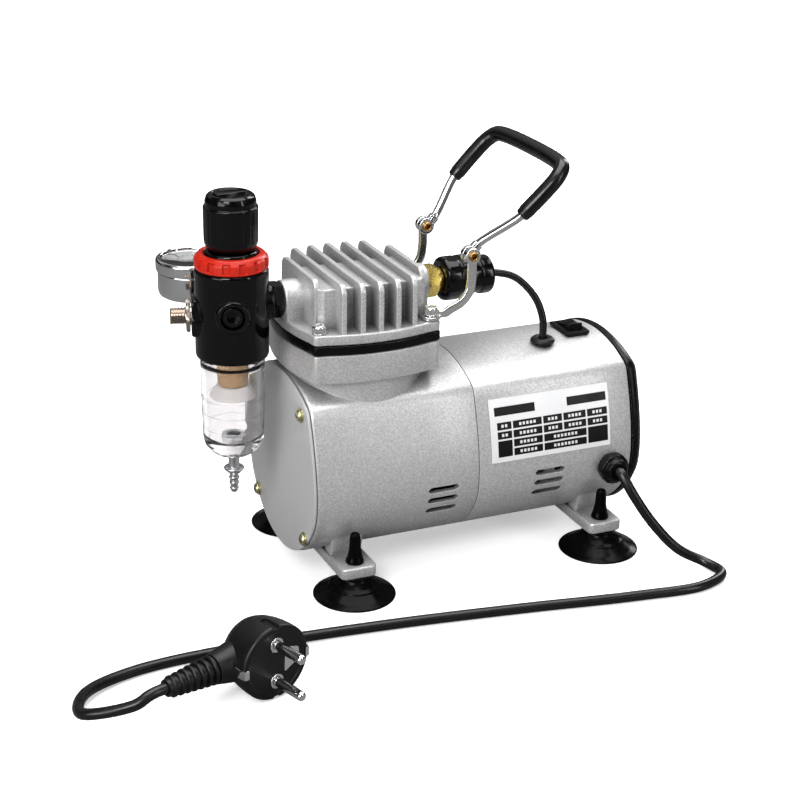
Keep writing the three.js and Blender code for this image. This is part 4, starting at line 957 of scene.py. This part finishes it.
def build_ports():
    rows = [23.1 + 0.1 * k for k in range(72)]
    line = [(0, 11), (4.7, 11), (4.7, 20.6), (7.6, 20.65), (8.6, 21), (8.6, 22.3), (7.6, 22.8), (4.6, 22.9),
        *[(4.5, h) for h in rows], (4.0, 30.75), (2.6, 30.8), (2.4, 30.4), (2.4, 14), (0, 13.6)]
    nut, thread = hexagonal(14.5), threaded(1.4, 0.85, 23.2, 30.3)

    def nut_and_thread(r, h, angle):
        return (thread if r > 4.2 and h > 23 else nut)(r, h, angle)

    outlet = revolve("outlet_hex", line, on_axis(OUTLET_Z), OUTLET, 96, 0, shape=nut_and_thread)
    piece(outlet, "steel", NICKEL, "outlet_fitting")
    plug = revolve("plug_screw", [(0, 10), (5.2, 10), (5.2, 18.2), (5.0, 18.9), (3.2, 19), (2.9, 18.6),
        (2.9, 15), (0, 14.6)], on_axis(PLUG_Z), PLUG_AWAY, 96, 0.25, shape=socket(3.4, 14, 1.08))
    piece(plug, "steel", BLACK_GLOSS, "port_plug")
    nipple = revolve("nipple_hex", [(2.6, 0), (4.7, 0), (4.7, 11.6), (8.4, 11.7), (9.6, 12.4), (9.6, 15.9),
        (8.4, 16.6), (4.9, 16.7), (4.9, 26.5), (2.6, 26.5)], (-112, 0, PORT_Z), (1, 0, 0),
        shape=hexagonal(16.5))
    piece(nipple, "black_gloss", BLACK_GLOSS, "inlet_nipple")


# ---------------------------------------------------------------- pressure switch, rocker and mains parts

def build_pressure_switch():
    start = low("brass_fitting").x
    hex_at = -15.7 - start
    fitting = revolve("brass_hex", [(2.4, 0), (4.9, 0), (4.9, hex_at), (8, hex_at + 0.05),
        (8.95, hex_at + 0.8), (8.95, hex_at + 5.4), (8, hex_at + 6), (6.6, hex_at + 6.1), (6.6, hex_at + 9),
        (4.2, hex_at + 9.1), (4.2, hex_at + 17.6), (2.4, hex_at + 17.6)], (start, 0, PORT_Z), (1, 0, 0),
        144, 0.25, shape=lambda r, h, a: hexagonal(15.5)(r, h, a) if r > 6.7 else r)
    piece(fitting, "brass", BRASS, "brass_fitting")
    begin = low("pressure_switch").x

    def ribs(r, h, angle):
        return r - 0.3 * max(0.0, math.cos(40 * angle)) if r > 11.3 and 10.6 < h < 15.4 else r

    body = revolve("switch_can", [(4.6, 0), (9.8, 0), (11.2, 0.9), (11.6, 2.2), (11.6, 7.7), (11.35, 8.4),
        (10.9, 8.7), (10.9, 9.9), (11.5, 10.2), (11.6, 10.7), (11.6, 15.3), (11.3, 16), (9.6, 16.5),
        (9.4, 17.2), (9.4, 20.6), (9.7, 21.3), (10.2, 21.7), (10.2, 26.6), (9.4, 27.9), (7.5, 28.2),
        (3.2, 28.2), (2.4, 27.6), (2.4, 18), (4.6, 14)], (begin, 0, PORT_Z), (1, 0, 0), 160, 0.45,
        shape=ribs, steps=4)
    piece(body, "black_plastic", BLACK_GLOSS, "pressure_switch")
    lead = centre("lead_grommet")
    path = spline([(18, 0, PORT_Z), (24, 0, PORT_Z), (37, -2, 145), (47, -7, 134), (50, -11, 123),
        (lead.x, lead.y, 114), (lead.x, lead.y, 109), (lead.x, lead.y, 104)], 12)
    piece(sweep("switch_cable", path, 2.0, 28), "black_rubber", CORD, "switch_lead")
    collar = revolve("grommet_lip", [(2.5, -2), (4.3, -2), (4.3, 0.1), (6.6, 0.3), (6.6, 1.2), (5.2, 2.5),
        (3, 2.6), (2.5, 2.2)], (lead.x, lead.y, low("lead_grommet").z), sides=72, rounding=0.4)
    piece(collar, "black_rubber", RUBBER, "lead_grommet")


def build_rocker():
    where = centre("rocker_frame")
    x = where.x
    top = high("rocker_frame").z
    rim = slab("rocker_rim", rectangle(x, 0, 14.2, 21, 1.4), "z", top - 2, top, 0.6, 4)
    fuse(rim, slab("tub", rectangle(x, 0, 11, 19, 0.6), "z", 98, top - 1, 0.3))
    carve(rim, slab("well", rectangle(x, 0, 8.8, 16.4, 0.7), "z", 100, top + 2, 0.1))
    piece(rim, "black_plastic", BLACK_MOULDED, "rocker_frame")
    side = [(-7, 110), *arc((-7, 110), (0, 104.3), (7, 110), 12), (7, 110),
        (7.4, 113.2), *arc((7.4, 113.2), (1, 113), (-6.6, 116), 12), (-6.6, 116)]
    paddle = slab("rocker_paddle", side, "x", x - 4.05, x + 4.05, 0.45, 3)
    for y in (-5.2, -4.2, 4.4, 5.4):
        base = 112.2 if y > 0 else 113.8
        carve(paddle, block("groove", x - 2.6, x + 2.6, y - 0.18, y + 0.18, base, 118, 0.05))
    piece(paddle, "black_plastic", BLACK_MOULDED, "rocker_button", body="rocker")


FACE = heading(-72)
EXIT = heading(198)
PLUG = Vector((-150, -116, 19.2))
CORD_RADIUS = 2.7
PIN_REACH = 9.5


def plug_at(along_face, along_cord, up=0.0):
    return PLUG + FACE * along_face + EXIT * along_cord + Vector((0, 0, up))


def build_cord():
    gland = centre("cable_gland")
    origin = (gland.x, high("cable_gland").y, gland.z)
    line = [(3.6, 0), (4.9, 0), (4.9, 7.8), (7.6, 7.8), (8.4, 8.8), (8.5, 12.4), (7.9, 13.6), (6.7, 14.2),
        (6.3, 15.2), (5.6, 16.6), (4.6, 17), (3.6, 16.8)]
    nut = revolve("gland_nut", line, origin, (0, -1, 0), 96, 0.35,
        shape=hexagonal(8.9 * math.sqrt(3), 7.5, 13))
    piece(nut, "black_plastic", BLACK_MOULDED, "cable_gland")
    beyond = plug_at(-1, 60)
    r = CORD_RADIUS
    rest = r + 0.2
    x, z = gland.x, gland.z
    path = spline([(x, -43, z), (x, -52, z), (x, -59, z), (x + 4.2, -67, 38), (89, -74, 22.7),
        (101, -81, 9.3), (113, -90, r + 0.8), (115, -102, rest), (98, -111, rest), (60, -108, rest),
        (0, -98, rest), (-70, -88, rest), (-140, -82, rest), (-200, -84, r + 0.3), (-228, -98, r + 2.3),
        (-236, -122, 9.3), (beyond.x - 8, beyond.y - 1, 16), beyond, plug_at(-1, 43)], 14)
    piece(sweep("mains_cable", path, r, 28), "black_rubber", CORD, "mains_cord")
    build_plug()


def build_plug():
    body = revolve("plug_shell", [(0, -13), (7, -12.8), (11.6, -11.4), (14.8, -8.6), (16.8, -4.6), (18, 0),
        (18.7, 5), (18.9, 9), (18.9, 12.2), (18.2, 13.3), (15.8, 13.4), (15.5, 12.9), (0, 12.9)], PLUG,
        FACE, 112, 1.0, steps=4)
    neck = sweep("neck", [plug_at(-1, 8 + 2 * k) for k in range(10)], lambda s: 10.2 - 2.9 * s ** 1.5, 40,
        side_hint=(0, 0, 1), round_ends=False)
    fuse(body, neck)
    relief = []
    for k in range(7):
        along = 27.5 + 3.6 * k
        r = 7.2 - 0.32 * k
        relief.append(revolve("ring", [(3.4, -1.1), (r - 0.5, -1.1), (r, -0.5), (r, 0.5), (r - 0.5, 1.1),
            (3.4, 1.1)], plug_at(-1, along), EXIT, 48, 0.4))
    core = sweep("core", [plug_at(-1, 24 + 2 * k) for k in range(15)], lambda s: 5.6 - 1.4 * s, 32,
        side_hint=(0, 0, 1), round_ends=False)
    fuse(body, core, *relief)
    for up in (-PIN_REACH, PIN_REACH):
        carve(body, plain_rod(2.7, plug_at(4, 0, up), plug_at(20, 0, up), 32))
    carve(body, plain_rod(3.0, plug_at(-1, 40), plug_at(-1, 60), 32))
    for i, up in enumerate((-PIN_REACH, PIN_REACH)):
        pin = revolve(f"plug_pin_{i + 1}_rod", [(0, 6), (2.35, 6), (2.35, 31.2), (1.9, 32.4), (0, 33)],
            plug_at(0, 0, up), FACE, 48, 0.7, steps=5)
        piece(pin, "chrome", CHROME, f"plug_pin_{i + 1}")
        collar = revolve(f"pin_collar_{i + 1}", [(2.45, 12.95), (3.7, 12.95), (3.7, 13.7), (2.45, 13.8)],
            plug_at(0, 0, up), FACE, 48, 0.2)
        piece(collar, "chrome", SATIN_NICKEL)
        carve(body, plain_rod(2.9, plug_at(3, 0, up * 2.08), plug_at(20, 0, up * 2.08), 6))
    piece(body, "black_rubber", RUBBER, "plug_body")
    outline = soften([(-5, 6.8), (-13, 4.6), (-13.6, -1.6), (-4.6, -6.4)], 1.3, 4, closed=True)
    layers = ((12.8, 1.0), (13.2, 1.0), (13.4, 0.985))
    plate = skin("earth_plate", [[plug_at(a, b * k, up * k) for b, up in outline] for a, k in layers])
    carve(plate, plain_rod(2.3, plug_at(10, -9.4, 1.2), plug_at(20, -9.4, 1.2), 32))
    piece(plate, "chrome", SATIN_NICKEL)
    for i, side in enumerate((-1, 1)):
        hook = [(1, 18.35), (4, 18.9), (7, 19.15), (10, 19.2), (12, 19.1), (13.6, 18.6), (14, 17.6),
            (13.9, 16.6)]
        strip = sweep(f"earth_clip_{i + 1}", [plug_at(a, side * b) for a, b in hook], 1.0, 16,
            section=(0.35, 2.4), side_hint=EXIT, round_ends=False)
        piece(strip, "chrome", CHROME)


# ---------------------------------------------------------------- carrying handle

HINGE = Vector((centre("hinge_screw_near").x, 0, centre("hinge_screw_near").z))
LEAN = math.radians(44)
EYE_Y = 25.9
BRACKET_Y = 29.7


def on_hinge(y):
    return HINGE + Vector((0, y, 0))


def on_handle(distance, y):
    return HINGE + Vector((distance * math.cos(LEAN), y, distance * math.sin(LEAN)))


def grip_side(side):
    return [on_handle(31.5, side * 39.2), on_handle(48, side * 40.2), on_handle(57, side * 39.6),
        on_handle(62.3, side * 36.4), on_handle(64, side * 30)]


def build_handle():
    near, far = grip_side(-1), grip_side(1)[::-1]
    start = [on_handle(3.4, -EYE_Y), on_handle(8, -26.4)]
    end = [on_handle(8, 26.4), on_handle(3.4, EYE_Y)]
    path = spline(start + near + far + end, 10)
    bar = sweep("handle_rod", path, 2.2, 28)
    for side in (-1, 1):
        y = side * EYE_Y
        eye = revolve("eye", [(2, -1.5), (4.2, -1.5), (4.5, -1), (4.5, 1), (4.2, 1.5), (2, 1.5)],
            on_hinge(y), (0, 1, 0), 64, 0.4)
        tang = sweep("tang", path[:8] if side < 0 else path[-8:], lambda s: 1.0, 20, section=(1.7, 2.8))
        fuse(bar, eye, tang)
    carve(bar, plain_rod(1.95, on_hinge(-40), on_hinge(40), 32))
    piece(bar, "chrome", CHROME, "handle_bar", body="handle")
    grip = near + far
    sleeve = sweep("grip_sleeve", spline(grip, 14), lambda s: 4.1 - 0.35 * (s < 0.012 or s > 0.988), 36)
    lining = spline([on_handle(27, -37.8), *grip, on_handle(27, 37.8)], 10)
    carve(sleeve, sweep("lining", lining, 2.35, 24))
    piece(sleeve, "black_rubber", GRIP, "handle_grip", body="handle")
    for side, word, bolt in ((-1, "near", 2), (1, "far", 3)):
        build_bracket(side, word, centre(f"head_bolt_{bolt}"))


def build_bracket(side, word, bolt):
    """Strap from a head bolt up to the hinge, ending in a round boss with a brass screw."""
    base = HEAD_TOP + 0.3
    y = side * BRACKET_Y
    lug = revolve(f"bracket_{word}", [(2.7, base), (5, base), (5, base + 1.8), (2.7, base + 1.8)],
        (bolt.x, bolt.y, 0), sides=64, rounding=0.4)
    arm = sweep("arm", spline([(bolt.x + 3.4, y, base + 1.2), (-17.5, y, base + 1.6),
        (-14.2, y, base + 3.4), (-8, y, base + 6.4), (-3.9, y, base + 11.5), (HINGE.x, y, base + 18),
        (HINGE.x, y, HINGE.z - 3)], 8), 1.0, 24, section=(1.35, 2.3))
    eye = revolve("eye", [(2, -1.5), (3.9, -1.5), (4.2, -1.1), (4.2, 1.1), (3.9, 1.5), (2, 1.5)],
        on_hinge(y), (0, 1, 0), 64, 0.35)
    fuse(lug, arm, eye)
    carve(lug, plain_rod(30, (bolt.x, y, base - 20), (bolt.x, y, base)),
        plain_rod(4.6, (bolt.x, bolt.y, base + 1.8), (bolt.x, bolt.y, base + 12)),
        plain_rod(1.95, on_hinge(y - 5), on_hinge(y + 5), 32))
    piece(lug, "chrome", SATIN_NICKEL, f"handle_bracket_{word}")
    seat = -31.3 if side < 0 else 24.3
    screw = revolve(f"hinge_screw_{word}_head", [(0, -7.6), (1.6, -7.6), (1.65, 0), (2.4, 0), (2.5, 0.4),
        (2.45, 0.9), (2.15, 1.3), (1.7, 1.3), (1.35, 1.0), (1.3, -1.6), (0, -1.8)],
        on_hinge(seat), (0, -1, 0), 72, 0.25, shape=socket(1.5, -3, 1.05))
    piece(screw, "brass", SCREW_BRASS, f"hinge_screw_{word}")


# ---------------------------------------------------------------- data plate

def shoulder_y(z):
    """Near side of the housing at a height."""
    outline = body_outline()
    best = None
    for a, b in zip(outline, outline[1:] + outline[:1]):
        if a.x < 0 and b.x < 0 and min(a.y, b.y) <= z <= max(a.y, b.y) and abs(b.y - a.y) > 1e-6:
            y = a.x + (b.x - a.x) * (z - a.y) / (b.y - a.y)
            best = y if best is None else min(best, y)
    return best


def patch(name, x0, x1, z0, z1, lift, depth):
    """Thin sheet on the curved side of the housing."""
    outer, inner = [], []
    for i in range(13):
        z = z0 + (z1 - z0) * i / 12
        slope = (shoulder_y(z + 0.3) - shoulder_y(z - 0.3)) / 0.6
        normal = Vector((-1, slope)).normalized()
        for line, amount in ((outer, lift), (inner, lift - depth)):
            line.append(Vector((shoulder_y(z), z)) + normal * amount)
    outline = outer + inner[::-1]
    return slab(name, outline, "x", x0, x1, min(0.02, depth / 3), 1)


def build_plate():
    """Data plate: two bars over a table of black cells; pale dashes stand where the print would be."""
    lo, hi = low("rating_plate"), high("rating_plate")
    x0, x1, z0, z1 = lo.x, hi.x, 61.2, 93.8
    sheet = patch("plate_sheet", x0, x1, z0, z1, 0.66, 0.4)
    piece(sheet, "white_plastic", PRINT_WHITE, "rating_plate")
    columns = [x0 + 3.4, x0 + 12.6, x0 + 30.4, x0 + 42.4, x0 + 56.6, x1 - 1]
    rows = [z0 + 2.2 + 4.7 * k for k in range(5)]
    gap = 0.45
    bars = [(x0 + 2.8, x0 + 26.5, z1 - 8.7, z1 - 4.3), (x1 - 25, x1 - 1.6, z1 - 8.7, z1 - 4.3)]
    cells = [(a, b, rows[k], rows[k + 1]) for a, b in zip(columns, columns[1:]) for k in (2, 3)]
    blanks = [(columns[0], columns[1], rows[0], rows[2]), (columns[4], columns[5], rows[0], rows[2])]
    wide = [(columns[i], columns[j], rows[k], rows[k + 1]) for i, j in ((1, 2), (2, 4)) for k in (0, 1)]
    boxes = bars + [(a + gap, b - gap, c + gap, d - gap) for a, b, c, d in cells + blanks + wide]
    printed = [patch("ink", *edges, 0.69, 0.1) for edges in boxes]
    piece(merge("plate_print", *printed), "black_plastic", PRINT_BLACK)
    dashes = []
    spacing = 2.1
    for a, b, c, d in cells + wide:
        count = max(2, round(0.55 * (b - a) / spacing))
        z = (c + d) / 2
        for k in range(count):
            x = (a + b) / 2 + spacing * (k - (count - 1) / 2)
            dashes.append(patch("dash", x - 0.65, x + 0.65, z - 0.75, z + 0.75, 0.72, 0.08))
    piece(merge("plate_dashes", *dashes), "white_plastic", PRINT_WHITE)


# ---------------------------------------------------------------- inner works

def dress_inner_nodes():
    """Pieces inside the housing keep their CAD shape, with rounded edges and their own finishes."""
    finishes = {
        "cylinder_liner": ALUMINIUM, "motor_stator": DARK_STEEL, "rotor_shaft": STEEL,
        "front_bearing": STEEL, "rear_bearing": STEEL, "cooling_fan": BLACK_MOULDED,
        "connecting_rod": ALUMINIUM, "piston": ALUMINIUM,
    }
    for node, material in finishes.items():
        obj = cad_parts[node]
        obj.data.materials.clear()
        obj.data.materials.append(material)
        bevel = obj.modifiers.new("edges", "BEVEL")
        bevel.width = 0.25 * MM
        bevel.segments = 2
        bevel.limit_method = "ANGLE"


# ---------------------------------------------------------------- studio

def area_light(name, position, target, size, energy):
    light = bpy.data.lights.new(name, "AREA")
    light.shape = "RECTANGLE"
    light.size, light.size_y = size
    light.energy = energy
    obj = linked(name, light)
    obj.location = position
    obj.rotation_euler = (Vector(target) - Vector(position)).to_track_quat("-Z", "Y").to_euler()


def build_studio():
    mesh = bpy.data.meshes.new("studio_floor")
    mesh.from_pydata([(-6, -6, 0), (6, -6, 0), (6, 6, 0), (-6, 6, 0)], [], [(0, 1, 2, 3)])
    floor = linked("studio_floor", mesh)
    floor.location.z = -0.0002
    g = Graph("pale_floor")
    path = g.node("ShaderNodeLightPath").outputs
    bounce = g.blend(path["Is Glossy Ray"], rgb(0.5), rgb(0.16))
    g.set(Base_Color=g.blend(looked_at(g), bounce, rgb(0.9)), Emission_Color=rgb(1.0))
    away = g.node("ShaderNodeVectorMath", {0: g.place}, operation="LENGTH").outputs["Value"]
    g.set(Emission_Strength=g.math("MULTIPLY", path["Is Camera Ray"], g.span(away, 0.4, 1.0, 0.5, 1.6)),
        Roughness=0.8, Specular_IOR_Level=0.0)
    mesh.materials.append(g.material)
    bpy.context.scene.world = studio_world()
    area_light("key", (-1.0, -1.1, 1.25), (0, 0, 0.08), (0.7, 0.7), 24)
    area_light("top", (0.15, 0.1, 1.5), (0, 0, 0.1), (1.3, 1.3), 30)
    area_light("front", (-1.5, -0.75, 0.5), (0, 0, 0.08), (0.9, 0.7), 13)
    area_light("rim", (1.2, 0.7, 0.9), (0, 0, 0.1), (0.35, 1.0), 10)
    area_light("strip", (0.9, -1.3, 0.6), (0, 0, 0.08), (0.16, 1.0), 5)
    bpy.context.scene.view_settings.view_transform = "Standard"


def looked_at(g):
    """One for rays that come straight from the camera or through clear plastic."""
    path = g.node("ShaderNodeLightPath").outputs
    return g.math("MAXIMUM", path["Is Camera Ray"], path["Is Transmission Ray"])


def studio_world():
    """White behind the object, which reflects a dim room with a paler ceiling and soft dark patches."""
    world = bpy.data.worlds.new("studio")
    g = Graph("studio", world)
    up = g.node("ShaderNodeSeparateXYZ", {0: g.place}).outputs["Z"]
    height = g.node("ShaderNodeMapRange", {"Value": up, "From Min": -1}).outputs["Result"]
    ramp = g.node("ShaderNodeValToRGB", {"Fac": height})
    stops = ramp.color_ramp.elements
    stops[0].position, stops[0].color = 0.0, rgb(0.2)
    stops[1].position, stops[1].color = 1.0, rgb(0.62)
    for position, level in ((0.49, 0.1), (0.505, 0.03), (0.62, 0.06), (0.74, 0.3)):
        stops.new(position).color = rgb(level)
    patches = g.node("ShaderNodeTexNoise", {"Vector": g.place, "Scale": 1.7, "Detail": 0}).outputs["Fac"]
    g.set(Color=ramp.outputs["Color"], Strength=g.span(patches, 0.12, 1.35, 0.44, 0.56))
    white = g.node("ShaderNodeBackground", {"Color": rgb(1.0)})
    mix = g.node("ShaderNodeMixShader", {0: looked_at(g), 1: g.shader.outputs[0], 2: white.outputs[0]})
    g.put(g.tree.nodes["World Output"], "Surface", mix.outputs[0])
    return world


# Product view: azimuth, elevation and roll in degrees, target in millimetres, distance in metres, lens in
# millimetres.
VIEW_ANGLES = (-24.667, 22.09, 1.2757)
VIEW_TARGET = (-27.411, 0, 83.595)
VIEW_DISTANCE = 0.997852
FOCAL_LENGTH = 84.892


def build_camera():
    """Camera at the product view: from the front left and a little above, with a slight roll."""
    azimuth, elevation, roll = (math.radians(a) for a in VIEW_ANGLES)
    target = BASE + Vector(VIEW_TARGET) * MM
    back = Vector((math.sin(azimuth) * math.cos(elevation), -math.cos(azimuth) * math.cos(elevation),
        math.sin(elevation)))
    right = Vector((math.cos(azimuth), math.sin(azimuth), 0))
    up = back.cross(right)
    right, up = right * math.cos(roll) + up * math.sin(roll), up * math.cos(roll) - right * math.sin(roll)
    camera = linked("camera", bpy.data.cameras.new("camera"))
    turn = Matrix((right, up, back)).transposed().to_4x4()
    camera.matrix_world = Matrix.Translation(target + back * VIEW_DISTANCE) @ turn
    camera.data.sensor_width = 36
    camera.data.lens = FOCAL_LENGTH
    bpy.context.scene.camera = camera


for build in (build_front_housing, build_rear_housing, build_front_cover, build_rear_cover, build_feet,
        build_head, build_regulator_body, build_collar, build_knob, build_bowl, build_gauge, build_ports,
        build_pressure_switch, build_rocker, build_cord, build_handle, build_plate, dress_inner_nodes,
        build_studio, build_camera):
    build()
